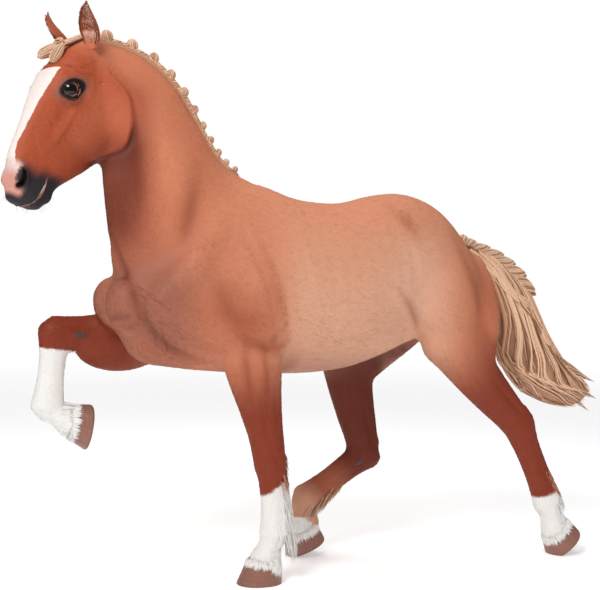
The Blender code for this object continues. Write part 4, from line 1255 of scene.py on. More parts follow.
def make_skin():
    """The whole skin in one mesh, from nose to tail."""
    body = fused(body_masses(), VOXEL, "skin")
    relax(body.data, FILL_STEPS, SMOOTH_STEPS)
    with_ears(body)
    subdivided(body, 1)
    refined(body.data, near_head)
    even(body.data, near_head, 2)
    refined(body.data, near_features)
    even(body.data, near_features, 2)
    even(body.data, croup, CROUP_STEPS)
    refined(body.data, breast)
    skin = Skin(body.data)
    rng = np.random.default_rng(SEED)
    skin.co -= skin.normal * SKIN_DEPTH
    skin.measure()
    body_relief(skin)
    skin.measure()
    breast_relief(skin, body_places(skin.co), rng)
    for leg in LEGS.values():
        leg_relief(skin, leg)
    head_relief(skin)
    skin.measure()
    skin.plain = skin.co.copy()  # before the openings, where the markings and the painted light and shade are drawn
    for side in (1, -1):
        nostril(skin, side)
    mouth(skin)
    skin.measure()
    for side in (1, -1):
        lids(skin, Eye(side))
    skin.measure()
    body.data.polygons.foreach_set("use_smooth", np.ones(len(body.data.polygons), bool))
    return body, skin


# ---------------------------------------------------------------- markings, painted light and painted shade
def mix(a, b, t):
    """Blends two colours, or arrays of them, by an array of shares."""
    t = np.asarray(t)[..., None]
    return np.asarray(a, float) * (1 - t) + np.asarray(b, float) * t


def ripple(co, scale, seed=0):
    """A cheap, smooth, repeatable unevenness from -1 to 1."""
    rng = np.random.default_rng(seed)
    total = np.zeros(len(co))
    for k in range(5):
        way = rng.normal(size=3)
        way /= np.linalg.norm(way)
        total += np.sin(co @ way * scale * (1 + 0.37 * k) + rng.uniform(0, 6.28))
    return total / 3.2


def bone_share(co, a, b):
    """How far along a bone each point lies, and how far from it."""
    a, b = np.array(a), np.array(b)
    along = b - a
    share = (co - a) @ along / (along @ along)
    gap = co - (a + np.clip(share, 0, 1)[:, None] * along)
    return share, np.linalg.norm(gap, axis=1)


class LegPlace:
    """Where points lie on one leg: whether they are on it, and how far down its upper and lower bone."""

    def __init__(self, leg, co):
        self.upper, self.gap_upper = bone_share(co, leg.top, leg.knee_or_hock)
        self.lower, self.gap_lower = bone_share(co, leg.knee_or_hock, leg.fetlock)
        self.foot, self.gap_foot = bone_share(co, leg.fetlock, leg.coronet)
        left = co[:, 0] + ORIGIN.x
        near = (self.gap_upper < 0.20) | (self.gap_lower < 0.13) | (self.gap_foot < 0.13)
        self.on = (left * leg.side > 0.02) & near


STOCKINGS = {
    # how far down the lower bone the white starts, and how it dips towards the front
    "fore_left": (0.335, 0.10),
    "fore_right": (0.200, 0.00),
    "hind_left": (0.850, -0.02),
    "hind_right": (1.300, 0.00),
}
LEG_SHADES = {
    # where the red starts and ends down the upper bone, and how much darker the leg is than the red; on the
    # far hind leg most of that is painted shade
    "fore_left": (0.00, 0.60, 0.10),
    "fore_right": (-0.05, 0.50, 0.15),
    "hind_left": (-0.05, 0.60, 0.15),
    "hind_right": (-0.20, 0.40, 0.75),
}


def leg_colour(colour, co, name, leg):
    """Darkens a leg towards the foot, the far hind leg much more as painted shade, and whitens its stocking.
    """
    place = LegPlace(leg, co)
    start, end, darker = LEG_SHADES[name]
    dark = smooth(place.upper, start, end) * place.on
    reach = (0.150, 0.115) if name == "fore_right" else (0.200, 0.140)
    dark *= smooth(place.gap_upper, *reach)
    beyond_knee = smooth(place.lower, -0.25, 0.0) * (place.gap_lower < 0.13) * place.on
    red = np.clip(np.maximum(dark, beyond_knee), 0, 1)
    tone = mix(RED_CHESTNUT, DARK_CHESTNUT, np.full(len(co), darker))
    colour = mix(colour, tone, red)
    begin, dip = STOCKINGS[name]
    _, ahead, _ = leg.lower_frame()
    forward = (co - np.array(leg.knee_or_hock)) @ ahead
    edge = place.lower + ripple(co, 110, 3) * 0.010 + ripple(co, 420, 4) * 0.008
    edge = edge - dip * np.clip(forward / 0.05, -1, 1)
    if name == "hind_right":
        edge = place.foot + 0.75 + ripple(co, 260, 5) * 0.03
        shin = smooth(place.lower, 0.20, 0.60) * (place.gap_lower < 0.14) * place.on
        colour = mix(colour, MID_CHESTNUT, 0.45 * shin)
        pale = smooth(place.lower, 0.72, 1.05) * (place.gap_lower < 0.14) * place.on
        colour = mix(colour, PALE_TAN, pale * 0.8)
    low = (place.gap_lower < 0.11) | ((place.foot > 0) & (place.gap_foot < 0.12))
    low &= place.gap_lower < place.gap_upper + 0.02
    white = smooth(edge, begin, begin + 0.035) * low * place.on
    if leg.fore:
        white *= place.lower > 0.05
    return mix(colour, WHITE, white)


SHADE_TINT = np.array((0.70, 1.05, 1.20))  # painted shade turns the coat redder as it darkens
COAT_SHADES = (
    # how dark the painted shade is, how broad, sides (1 left, -1 right, 0 both), path in forward and up;
    # negative is painted light, paler
    (0.55, 0.042, 0, ((0.910, 1.930), (0.835, 1.700), (0.810, 1.580), (0.800, 1.330))),
    (0.30, 0.040, 0, SHOULDER_LINE),
    (0.26, 0.055, 1, ((0.530, 1.170), (0.500, 1.085), (0.465, 1.020))),
    (0.40, 0.024, 1, ((0.450, 0.945), (0.405, 0.920), (0.345, 0.907), (0.290, 0.920), (0.268, 0.950))),
    (0.24, 0.024, 1, ((0.375, 1.290), (0.340, 1.200), (0.305, 1.100), (0.285, 1.000), (0.280, 0.910))),
    (0.36, 0.016, 1, ((0.440, 0.925), (0.425, 0.820), (0.402, 0.700))),
    (0.38, 0.014, 1, ((0.365, 0.915), (0.350, 0.800), (0.343, 0.700))),
    (0.30, 0.040, -1, ((0.640, 1.170), (0.625, 1.090), (0.640, 1.010))),
    (0.30, 0.030, 0, ((-0.205, 1.435), (-0.250, 1.380), (-0.285, 1.330))),
    (0.22, 0.090, 0, ((-0.520, 1.300), (-0.600, 1.180), (-0.640, 1.060), (-0.640, 0.940))),
    (0.24, 0.030, 0, ((-0.470, 1.360), (-0.530, 1.180), (-0.615, 0.960))),
    (0.26, 0.020, 0, ((-0.205, 1.098), (-0.250, 1.050), (-0.300, 0.990), (-0.350, 0.925))),
    (-0.20, 0.042, 1, ((0.675, 1.340), (0.615, 1.200))),
    (-0.20, 0.070, 0, ((0.690, 1.720), (0.670, 1.560), (0.650, 1.440))),
    (-0.14, 0.050, 1, ((0.385, 1.200), (0.360, 1.120))),
)


BREAST_SHADES = (
    # how dark the painted shade is, how broad, path in forward, left and up, mirrored to the other side
    (0.42, 0.022, BREAST_CREASE),
    (0.38, 0.020, BREAST_FOLD),
    (0.30, 0.016, ((0.893, 0.030, 1.030), (0.890, 0.125, 1.020), (0.850, 0.155, 1.015))),
)


def shaded(colour, place):
    """Painted shade: darkens the coat softly along the grooves between muscles. Painted light: lightens it on
    their crowns.
    """
    for depth, radius, sides, path in COAT_SHADES:
        distance, share, _ = from_path(place[:, [0, 2]], spline(path, 4) if len(path) > 2 else path)
        ends = np.sin(np.pi * np.clip(0.10 + 0.80 * share, 0, 1))
        shade = depth * ends * np.exp(-((distance / radius) ** 2)) * smooth(np.abs(place[:, 1]), 0.02, 0.07)
        if sides:
            shade = shade * (place[:, 1] * sides > 0)
        colour = colour * (1 - shade[:, None] * SHADE_TINT)
    for depth, radius, path in BREAST_SHADES:
        distance, share, _ = from_path(place * (1, 0, 1) + np.abs(place) * (0, 1, 0), spline(path, 4))
        ends = np.sin(np.pi * np.clip(0.12 + 0.76 * share, 0, 1))
        shade = depth * ends * np.exp(-((distance / radius) ** 2))
        colour = colour * (1 - shade[:, None] * SHADE_TINT)
    return colour


def hide_colour(co, cavity=None):
    """The colour of the coat and bare skin at each point: the horse's markings, with painted light and
    painted shade over them.
    """
    place = body_places(co)
    f, left, u = place.T
    face = head_places(co)
    colour = np.tile(np.array(MID_CHESTNUT), (len(co), 1))
    barrel = smooth(f, 0.62, 0.20) * smooth(u, 0.70, 0.95)
    colour = mix(colour, TAN, barrel)
    # painted light on the middle of the barrel, strongest low down
    middle = smooth(f, 0.34, 0.18) * smooth(f, -0.62, -0.30)
    low = smooth(u, 1.34, 1.02)
    colour = mix(colour, PALE_TAN, middle * (0.35 + 0.65 * low))
    # painted light on the round of the flank
    flank = np.exp(-(((f + 0.26) / 0.13) ** 2 + ((u - 1.16) / 0.16) ** 2))
    colour = mix(colour, FLANK_LIGHT_TAN, flank)
    rear = smooth(f, -0.30, -0.62)
    colour = mix(colour, MID_CHESTNUT, rear * smooth(u, 1.35, 1.05) * 0.9)
    # painted shade under the belly
    underside_shade = smooth(u, 0.90, 0.80) * smooth(f, 0.35, 0.20) * smooth(f, -0.50, -0.30)
    colour = mix(colour, BELLY_SHADE_BROWN, 0.6 * underside_shade)
    # the breast: partly its own browner tone, partly painted shade
    breast = smooth(f, 0.50, 0.74) * smooth(u, 1.36, 1.14)
    colour = mix(colour, BREAST_CHESTNUT, breast)
    # painted shade down the throat, darkest under the jaw
    throat = smooth(f, 0.70, 0.82) * smooth(u, 1.16, 1.36) * smooth(u, 1.94, 1.80)
    colour = mix(colour, RED_CHESTNUT, 0.55 * throat)
    under_jaw_shade = smooth(f, 0.78, 0.86) * smooth(u, 1.20, 1.38) * smooth(u, 1.90, 1.76)
    colour = mix(colour, DARK_CHESTNUT, 0.72 * under_jaw_shade)
    loin = smooth(u, 1.28, 1.45) * smooth(f, 0.40, 0.20) * smooth(f, -0.75, -0.50)
    colour = mix(colour, LOIN_CHESTNUT, 0.55 * loin)
    # painted shade on the underside of the chest, below the breast
    below_breast_shade = smooth(u, 0.93 + 0.55 * (f - 0.72), 0.90 + 0.55 * (f - 0.72)) * smooth(f, 0.55, 0.66)
    colour = mix(colour, SHADE_CHESTNUT, 0.45 * below_breast_shade)
    # painted shade on the triceps above the elbow
    triceps_shade = np.exp(-(((f - 0.41) / 0.11) ** 2 + ((u - 1.03) / 0.12) ** 2))
    colour = mix(colour, TRICEPS_SHADE_CHESTNUT, 0.90 * triceps_shade)
    patches = smooth(ripple(co, 9, 1), 0.0, 1.0) * smooth(f, 0.0, 0.4) * (1 - 0.9 * throat)
    colour = mix(colour, PATCH_CHESTNUT, 0.4 * patches)
    for name, leg in LEGS.items():
        colour = leg_colour(colour, co, name, leg)
    # painted shade on the inner sides of the hind legs, between the thighs
    inner_thigh_shade = smooth(np.abs(left), 0.150, 0.075) * smooth(f, -0.08, -0.20) * smooth(u, 0.98, 0.84)
    inner_thigh_shade *= smooth(u, 0.30, 0.48)
    colour = mix(colour, DARK_CHESTNUT, 0.80 * inner_thigh_shade)
    colour = shaded(colour, place)
    colour = head_colour(colour, co, face)
    # painted shade in the skin's hollows and creases, darker where they sink deeper
    if cavity is not None:
        colour = colour * (1 - 0.30 * smooth(cavity, 0.004, 0.014))[:, None]
    return np.clip(colour, 0.004, 1)


def behind_line(points, line):
    """How far each point lies behind a line that is seen from the side; less than 0 in front of it."""
    line = spline(line, 4)
    distance, share, way = from_path(points[:, :2], line)
    nearest = np.stack([np.interp(share, path_shares(line), line[:, k]) for k in (0, 1)], 1)
    gap = points[:, :2] - nearest
    return distance * np.sign(way[:, 1] * gap[:, 0] - way[:, 0] * gap[:, 1])


def path_shares(path):
    """The share of its length at which each point of a path lies."""
    lengths = np.concatenate([[0], np.cumsum(np.linalg.norm(np.diff(path, axis=0), axis=1))])
    return lengths / lengths[-1]


ABOVE_CHEEK = ((-0.160, 0.300), (-0.060, 0.100), (0.020, -0.060))  # the rear edge of the face, up to the ears
BELOW_CHEEK = ((0.420, -0.262), (0.600, -0.262))  # and along the jaw
BLAZE = (
    # down the face, half width
    (0.148, 0.062), (0.170, 0.062), (0.21, 0.059), (0.29, 0.043), (0.37, 0.030), (0.45, 0.020),
    (0.50, 0.028), (0.56, 0.046), (0.61, 0.040),
)


def head_colour(colour, co, face):
    """The colours of the face in front of the cheek's edge: its painted light and shade, blaze, muzzle, eyes
    and ears.
    """
    down, out, left = face.T
    on_head = near_head(co)
    behind = behind_line(face, (*ABOVE_CHEEK, *CHEEK_EDGE, *BELOW_CHEEK))
    soft = 0.005 + 0.110 * smooth(down, 0.20, 0.09)
    on_cheek = 1 - smooth(behind, -0.4 * soft, 0.6 * soft)
    head = smooth(down, -0.06, 0.10) * on_head * on_cheek
    colour = mix(colour, FACE_CHESTNUT, head)
    # painted light on the round of the cheek
    cheek_light = np.exp(-(((down - 0.19) / 0.13) ** 2 + ((out + 0.20) / 0.11) ** 2)) * head
    colour = mix(colour, CHEEK_LIGHT_CHESTNUT, 0.6 * cheek_light)
    colour = mix(colour, RED_CHESTNUT, 0.6 * head * smooth(out, -0.12, -0.27) * smooth(down, 0.17, 0.31))
    # painted shade behind the cheek's edge: a broad hollow, then a dark line along the edge
    along = smooth(down, 0.17, 0.27) * smooth(down, 0.46, 0.36) * smooth(np.abs(left), 0.26, 0.20)
    hollow = smooth(behind, -0.3 * soft, 0.005 + 0.3 * soft) * smooth(behind, 0.080, 0.010)
    hollow *= along * smooth(out, -0.12, -0.20)
    colour = mix(colour, DARK_CHESTNUT, 0.50 * hollow)
    rim = np.exp(-(((behind - 0.001) / 0.0045) ** 2)) * along * smooth(out, -0.20, -0.26)
    colour = mix(colour, DARK_CHESTNUT, 0.50 * rim)
    # painted shade under the cheek, along the jaw
    under = smooth(out, -0.19, -0.30) * smooth(down, 0.20, 0.30) * smooth(down, 0.52, 0.44) * head
    colour = mix(colour, DARK_CHESTNUT, 0.40 * under)
    edge = ripple(co, 200, 6) * 0.0010 + ripple(co, 900, 7) * 0.0004
    width = np.interp(down, *np.transpose(BLAZE))
    blaze = smooth(width + edge - np.abs(left + 0.002), -0.0012, 0.0020) * smooth(out, -0.05, -0.02) * on_head
    blaze *= smooth(down + 0.10 * left, 0.149, 0.152) * smooth(down, 0.60, 0.56)
    colour = mix(colour, BLAZE_WHITE, blaze)
    colour = muzzle_colour(colour, co, face, edge, on_head)
    for side in (1, -1):
        colour = eye_and_ear_colour(colour, co, side)
    return colour


def muzzle_colour(colour, co, face, edge, on_head):
    """The dark muzzle, the pink between the nostrils, and the inside of the lips."""
    down, out, left = face.T
    lips = np.minimum(*(from_path(face, np.array(MOUTH) * (1, 1, side))[0] for side in (1, -1)))
    side_left = np.abs(left)
    muzzle = smooth(down + 0.55 * (-out) + ripple(co, 60, 8) * 0.008, 0.520, 0.585) * on_head
    muzzle = np.maximum(muzzle, smooth(down, 0.470, 0.540) * smooth(side_left, 0.030, 0.050) * on_head)
    muzzle *= smooth(down, 0.43, 0.50)
    colour = mix(colour, MUZZLE_GREY, muzzle)
    pink = smooth(down, 0.495, 0.530) * smooth(down, 0.622, 0.598) * smooth(out, -0.092, -0.066)
    pink *= smooth(side_left + edge * 2, 0.050, 0.038) * on_head
    colour = mix(colour, PINK, pink)
    colour = mix(colour, WHITE, 0.55 * pink * smooth(down, 0.565, 0.52))
    inner = smooth(lips, 0.0062, 0.0038) * on_head * (down > 0.47)
    return mix(colour, PINK, 0.85 * inner * smooth(out, -0.112, -0.122))


def eye_and_ear_colour(colour, co, side):
    """The dark skin round an eye, and the red back and pale inside of the ear above it; the inside is its own
    pale colour made lighter still as painted light in the shaded cup.
    """
    x, y, z = Eye(side).place(co).T
    reach = np.sqrt(((x + 0.0110) / 1.62) ** 2 + (y * 1.10) ** 2)
    facing = (z > -0.03) & (z < 0.06)
    colour = mix(colour, ROUND_EYE, 0.75 * smooth(reach, 0.056, 0.036) * facing)
    colour = mix(colour, EYE_SKIN, smooth(reach, 0.0400, 0.0300) * facing)
    on_ear, inside = ear_places(co, side)
    colour = mix(colour, RED_CHESTNUT, 0.70 * on_ear)
    return mix(colour, EAR_PALE_LIT, inside)


def ear_places(co, side):
    """How far each point is on an ear, and on the pale inner wall of its cup."""
    place = EarFrame(HEAD, side)
    rel = co - np.array(place.base)
    rows = np.array(EAR_ROWS)
    share = rel @ np.array(place.up) / place.length
    wide, deep, thick, lean = (np.interp(share, rows[:, 0], rows[:, k]) for k in (1, 2, 3, 4))
    lean = lean + place.bend * np.sin(np.pi * np.clip(share, 0, 1))
    x = rel @ np.array(place.across) / wide
    y = (rel @ np.array(place.open_to) - lean) / deep
    reach = np.hypot(x, y)
    wall = thick / wide
    inner = smooth(reach, 1.0 - 0.60 * wall, 1.0 - 1.00 * wall) * (y < 0.12) * smooth(np.abs(x), 0.90, 0.68)
    on_ear = smooth(reach, 1.60, 1.20) * smooth(share, 0.02, 0.20) * (share < 1.2)
    return on_ear, inner * smooth(share, 0.02, 0.26) * smooth(share, 0.98, 0.90)


# ---------------------------------------------------------------- materials
def principled(name, roughness, **sockets):
    """A material, its shader and its node tree, with constants set on the shader's own sockets."""
    made = bpy.data.materials.new(name)
    made.use_nodes = True
    shader = made.node_tree.nodes["Principled BSDF"]
    shader.inputs["Roughness"].default_value = roughness
    for socket, value in sockets.items():
        shader.inputs[socket.replace("_", " ")].default_value = value
    return made, shader, made.node_tree


def added(tree, kind, **settings):
    """A new node, with values for its sockets and its own settings."""
    node_made = tree.nodes.new(kind)
    for key, value in settings.items():
        socket = key.replace("_", " ")
        if socket in node_made.inputs:
            node_made.inputs[socket].default_value = value
        else:
            setattr(node_made, key, value)
    return node_made


def mapped(tree, source, from_range, to_range, **settings):
    """A node that turns one range of a value into another."""
    ramp = added(tree, "ShaderNodeMapRange", From_Min=from_range[0], From_Max=from_range[1],
                 To_Min=to_range[0], To_Max=to_range[1], **settings)
    tree.links.new(source, ramp.inputs["Value"])
    return ramp.outputs["Result"]


def stretched_noise(tree, stretch, scale):
    """Noise in the model's own space, drawn out along one of its axes."""
    coordinates = added(tree, "ShaderNodeTexCoord")
    mapping = added(tree, "ShaderNodeMapping", Scale=stretch)
    noise = added(tree, "ShaderNodeTexNoise", Scale=scale, Detail=3.0, Roughness=0.6)
    tree.links.new(coordinates.outputs["Object"], mapping.inputs["Vector"])
    tree.links.new(mapping.outputs["Vector"], noise.inputs["Vector"])
    return noise


def hair_material(name, roughness, stretch, scale, contrast, bump, distance, specular):
    """Hair whose colour is the piece's own, streaked and roughened by fine drawn-out noise."""
    made, shader, tree = principled(name, roughness, Specular_IOR_Level=specular)
    hide = added(tree, "ShaderNodeVertexColor", layer_name="hide")
    noise = stretched_noise(tree, stretch, scale)
    streaks = mapped(tree, noise.outputs["Fac"], (0.30, 0.70), (1.0 - contrast, 1.0 + contrast))
    times = added(tree, "ShaderNodeVectorMath", operation="SCALE")
    tree.links.new(hide.outputs["Color"], times.inputs[0])
    tree.links.new(streaks, times.inputs["Scale"])
    tree.links.new(times.outputs["Vector"], shader.inputs["Base Color"])
    height = added(tree, "ShaderNodeBump", Strength=bump, Distance=distance)
    tree.links.new(noise.outputs["Fac"], height.inputs["Height"])
    tree.links.new(height.outputs["Normal"], shader.inputs["Normal"])
    return made


# ---------------------------------------------------------------- locks of hair as mesh
PATCH = 0.0030  # of the unwrap, for each lock
PART_RADII = (0.30, 0.16, 0.12, 0.09)  # of the trunk, the neck, the head, and of the tail and each leg


def unwrap(co):
    """Places on an unwrap of the body: which part a point is on, how far along it, and the way round."""
    bones = [(at(-0.70, 0, 1.2), at(0.85, 0, 1.15)), (at(0.45, 0, 1.35), at(0.93, 0, 1.90)),
             (HEAD(0, -0.1), HEAD(0.63, -0.11)), (at(-0.6, 0, 1.3), at(-1.33, 0, 0.64))]
    bones += [(leg.top, leg.sole) for leg in LEGS.values()]
    best = np.full(len(co), 1e9)
    uv = np.zeros((len(co), 2))
    for i, (a, b) in enumerate(bones):
        share, gap = bone_share(co, a, b)
        gap = gap / PART_RADII[min(i, 3)]
        closer = gap < best
        best[closer] = gap[closer]
        along = unit(np.array(b - a))
        across = unit(np.cross(along, (0.13, 0.2, 0.97)))
        third = np.cross(along, across)
        rel = co - np.array(a)
        angle = np.arctan2(rel @ across, rel @ third) / (2 * math.pi) + 0.5
        u = (i % 4 + 0.04 + 0.92 * np.clip((share + 0.15) / 1.3, 0, 1)) / 4
        v = (i // 4 + 0.04 + 0.92 * angle) / 2
        uv[closer] = np.stack([u, v], 1)[closer]
    return uv


def set_uv(obj, places):
    """The UV map of a piece, from a place on it for each of its points."""
    layer = obj.data.uv_layers.new(name="OFBake")
    corners = np.empty(len(obj.data.loops), np.int32)
    obj.data.loops.foreach_get("vertex_index", corners)
    layer.data.foreach_set("uv", places[corners].astype(np.float32).ravel())


def give_patches(obj, roots, owner, spot):
    """The UV map of a coat piece: each lock is a small patch at its root's place on the unwrap."""
    set_uv(obj, unwrap(roots)[owner] + (spot - 0.5) * PATCH)


def locks(name, paths, widths, thick, across, colours, sides=5):
    """Many tapered locks in one mesh. Each path has the same number of points; width and thickness are
    half measures at each point, and across is the way that the width lies."""
    count, steps, _ = paths.shape
    along = unit(np.gradient(paths, axis=1))
    across = across - (across * along).sum(2, keepdims=True) * along
    across = unit(across)
    third = np.cross(along, across)
    turn = turns(sides)
    c = np.cos(turn)[None, None, :, None]
    s = np.sin(turn)[None, None, :, None]
    rings = (paths[:, :, None] + across[:, :, None] * c * widths[:, :, None, None]
             + third[:, :, None] * s * thick[:, :, None, None])
    points = rings.reshape(-1, 3)
    start = (np.arange(count) * steps * sides)[:, None, None]
    faces = [(start + form).reshape(-1, form.shape[1]) for form in closed_faces(steps, sides)]
    obj = mesh_from(name, points, faces)
    if colours.ndim == 2:
        colours = np.repeat(colours[:, None], steps, axis=1)
    paint(obj, np.repeat(colours[:, :, None], sides, axis=2).reshape(-1, 3))
    owner = np.repeat(np.arange(count), steps * sides)
    spot = np.stack([np.tile(np.repeat(np.linspace(0, 1, steps), sides), count),
                     np.tile(np.arange(sides) / sides, count * steps)], 1)
    give_patches(obj, paths[:, 0], owner, spot)
    return obj


def taper(steps, root=0.7, tip=0.12, belly=0.35):
    """How wide a lock is along its length: it swells from its root, then narrows to its tip."""
    t = np.linspace(0, 1, steps)
    rise = root + (1 - root) * np.sin(np.clip(t / belly, 0, 1) * math.pi / 2)
    fall = np.clip((1 - t) / (1 - belly), 0, 1) ** 0.75
    return np.where(t < belly, rise, tip + (1 - tip) * fall)


def shades(rng, count, dark, middle, pale):
    """Colours for locks, from dark through middle to pale."""
    t = rng.beta(2.0, 2.0, count)
    low = mix(dark, middle, np.clip(t * 2, 0, 1))
    return mix(low, pale, np.clip(t * 2 - 1, 0, 1))


def along_shades(colours, steps, root_dark=0.80, tip_pale=1.05):
    """Locks that are darker at their roots and a little paler at their tips."""
    t = np.linspace(root_dark, tip_pale, steps)[None, :, None]
    return colours[:, None] * t


def fine_tufts(name, roots, normals, lay, length, width, colours, lift, sink=0.0010):
    """Short coat: each tuft is a solid wedge of four faces that lies along the skin and takes its shading."""
    count = len(roots)
    across = unit(np.cross(normals, lay))
    base = roots - normals * sink
    a = base + across * width[:, None] / 2
    b = base - across * width[:, None] / 2
    c = roots + lay * (length * 0.25)[:, None] + normals * (lift * 0.9 + 0.0004)[:, None]
    tip = roots + lay * length[:, None] + normals * lift[:, None]
    points = np.stack([a, b, c, tip], 1).reshape(-1, 3)
    first = (np.arange(count) * 4)[:, None]
    faces = np.concatenate([first + np.array(f) for f in ((0, 2, 3), (2, 1, 3), (0, 3, 1), (0, 1, 2))])
    obj = mesh_from(name, points, [faces])
    obj.data.normals_split_custom_set_from_vertices(np.repeat(normals, 4, axis=0).tolist())
    paint(obj, np.repeat(colours, 4, axis=0))
    owner = np.repeat(np.arange(count), 4)
    spot = np.tile(np.array([(0, 0), (1, 0), (0.5, 0.5), (0.5, 1)], float), (count, 1))
    give_patches(obj, roots, owner, spot)
    return obj


# ---------------------------------------------------------------- where tufts grow
def triangles_of(mesh):
    mesh.calc_loop_triangles()
    corners = np.empty(len(mesh.loop_triangles) * 3, np.int32)
    mesh.loop_triangles.foreach_get("vertices", corners)
    return corners.reshape(-1, 3)


def scatter(skin, triangles, weight, count, rng):
    """Random places on the skin, with their normals, cavities and colours' points."""
    a, b, c = (skin.co[triangles[:, k]] for k in range(3))
    area = np.linalg.norm(np.cross(b - a, c - a), axis=1) / 2
    chance = area * weight[triangles].mean(1)
    picked = rng.choice(len(triangles), count, p=chance / chance.sum())
    r1 = np.sqrt(rng.random(count))
    r2 = rng.random(count)
    shares = np.stack([1 - r1, r1 * (1 - r2), r1 * r2], 1)[:, :, None]
    corners = triangles[picked]
    roots = (skin.co[corners] * shares).sum(1)
    normals = unit((skin.normal[corners] * shares).sum(1))
    cavity = (skin.cavity[corners] * shares[:, :, 0]).sum(1)
    return roots, normals, cavity


def lay_of(co, normals):
    """The way that the coat lies: down the face, back along the neck and trunk, and down the legs."""
    ways = []
    weights = []

    def add(way, strength):
        ways.append(np.array(way, float))
        weights.append(strength)

    face = head_places(co)
    place = body_places(co)
    f, _, u = place.T
    on_head = smooth(face[:, 0], -0.05, 0.06) * near_head(co)
    cheek_back = smooth(face[:, 1], -0.10, -0.22)
    add(np.array(HEAD.down), 4 * on_head * (1 - 0.7 * cheek_back))
    add(-np.array(HEAD.out) * 0.8 + np.array(HEAD.down) * 0.5, 4 * on_head * cheek_back)
    add((0, 0.55, -0.80), 0.5 * smooth(f, 0.45, 0.70) * (1 - on_head) + 0.02)
    add((0, 0.90, -0.42), smooth(f, 0.75, 0.40) * smooth(u, 0.75, 0.95))
    for leg in LEGS.values():
        here = LegPlace(leg, co)
        upper = np.array((leg.knee_or_hock - leg.top).normalized())
        lower = np.array((leg.fetlock - leg.knee_or_hock).normalized())
        foot = np.array((leg.coronet - leg.fetlock).normalized())
        add(upper, 3 * here.on * smooth(here.upper, -0.25, 0.35) * (here.lower < 0.05))
        add(lower, 6 * here.on * smooth(here.lower, -0.05, 0.08) * (here.gap_lower < 0.12))
        add(foot, 12 * here.on * smooth(here.foot, -0.05, 0.15))
    total = sum(np.array(w)[:, None] * way for w, way in zip(weights, ways))
    wander = unit(np.stack([ripple(co, 14, seed) for seed in (21, 22, 23)], 1))
    total += 0.10 * wander * np.linalg.norm(total, axis=1, keepdims=True)
    flat = total - (total * normals).sum(1, keepdims=True) * normals
    return unit(flat)


# ---------------------------------------------------------------- eyes
EYE_WHITE = (0.62, 0.48, 0.42)
EYE_BROWN_EDGE = (0.030, 0.013, 0.010)
IRIS_EDGE = (0.004, 0.002, 0.002)
IRIS_DARK = (0.022, 0.007, 0.004)
IRIS_BROWN = (0.085, 0.025, 0.010)
IRIS_LIT_SIDE = (0.400, 0.120, 0.040)  # painted light in the iris, on the side towards the ears
PUPIL = (0.002, 0.002, 0.003)
LASHES = ((1, 46, 0.012, 0.30), (-1, 20, 0.006, -0.5))  # upper or lower lid, how many, length, rise


def eyeball(eye):
    """A glossy eyeball with a clear bulge, a brown iris and a long level pupil, painted from its gaze."""
    points, faces = ball((0, 0, 0), (1, 1, 1), detail=5)
    co = np.array([tuple(p) for p in points])
    gaze = unit(eye.gaze + 0.10 * eye.slit)
    level = unit(np.cross((0, 0, 1), gaze))
    upright = np.cross(gaze, level)
    x, y, z = co @ level, co @ upright, co @ gaze
    angle = np.arccos(np.clip(z, -1, 1))
    bulge = 1 + 0.030 * smooth(angle, 0.62, 0.20)
    obj = mesh_from("eye_%s_ball" % eye.label,
                    eye.centre + co * (EYEBALL * bulge)[:, None], [np.array(faces)])
    around = np.arctan2(y, x)
    rng = np.random.default_rng(SEED + 5)
    rays = sum(np.sin(around * k + rng.uniform(0, 6.3)) for k in (9, 17, 31, 43)) / 4
    colour = mix(EYE_WHITE, EYE_BROWN_EDGE, smooth(angle, 1.08, 1.00))
    colour = mix(colour, IRIS_EDGE, smooth(angle, 0.94, 0.86))
    iris = mix(IRIS_DARK, IRIS_BROWN, np.clip(0.5 + 0.7 * rays, 0, 1))
    # painted light: a bright ring in the iris, strongest on the side towards the ears
    ring = smooth(angle, 0.55, 0.62) * smooth(angle, 0.76, 0.68)
    iris = mix(iris, IRIS_LIT_SIDE, ring * np.clip(0.20 + 0.85 * np.cos(around), 0, 1))
    colour = mix(colour, iris, smooth(angle, 0.86, 0.77))
    pupil = np.sqrt((x / 0.53) ** 2 + (y / 0.42) ** 2)
    colour = mix(colour, PUPIL, smooth(pupil, 1.10, 0.94) * (z > 0))
    paint(obj, colour)
    return obj


RIM_GROWTH = 0.02  # how much larger the wet rim is than the opening


def rim_points(eye, radius):
    """Points round the opening of the lids, at a distance from the eye's centre."""
    turn = turns(64)
    x = EYE_HALF_LENGTH * np.cos(turn)
    upper, lower = eye.edge(x)
    y = np.where(np.sin(turn) > 0, upper, lower)
    x = x * (1 + RIM_GROWTH)
    y = y * (1 + RIM_GROWTH * 1.5)
    z = np.sqrt(np.maximum(radius**2 - x**2 - y**2, 1e-6))
    return eye.centre + eye.way(np.stack([x, y, z], 1))


def tube(name, path, radius, colour, closed):
    """A closed or open tube along points."""
    sides = 8
    count = len(path)
    if closed:
        along = unit(np.roll(path, -1, 0) - np.roll(path, 1, 0))
    else:
        along = unit(np.gradient(path, axis=0))
    outward = unit(path - path.mean(0))
    across = unit(np.cross(along, outward))
    third = np.cross(across, along)
    turn = turns(sides)
    rings = (path[:, None] + radius * (across[:, None] * np.cos(turn)[None, :, None]
             + third[:, None] * np.sin(turn)[None, :, None]))
    faces = [ring_faces(count + 1, sides) % (count * sides)] if closed else closed_faces(count, sides)
    obj = mesh_from(name, rings.reshape(-1, 3), faces)
    paint(obj, colour)
    return obj


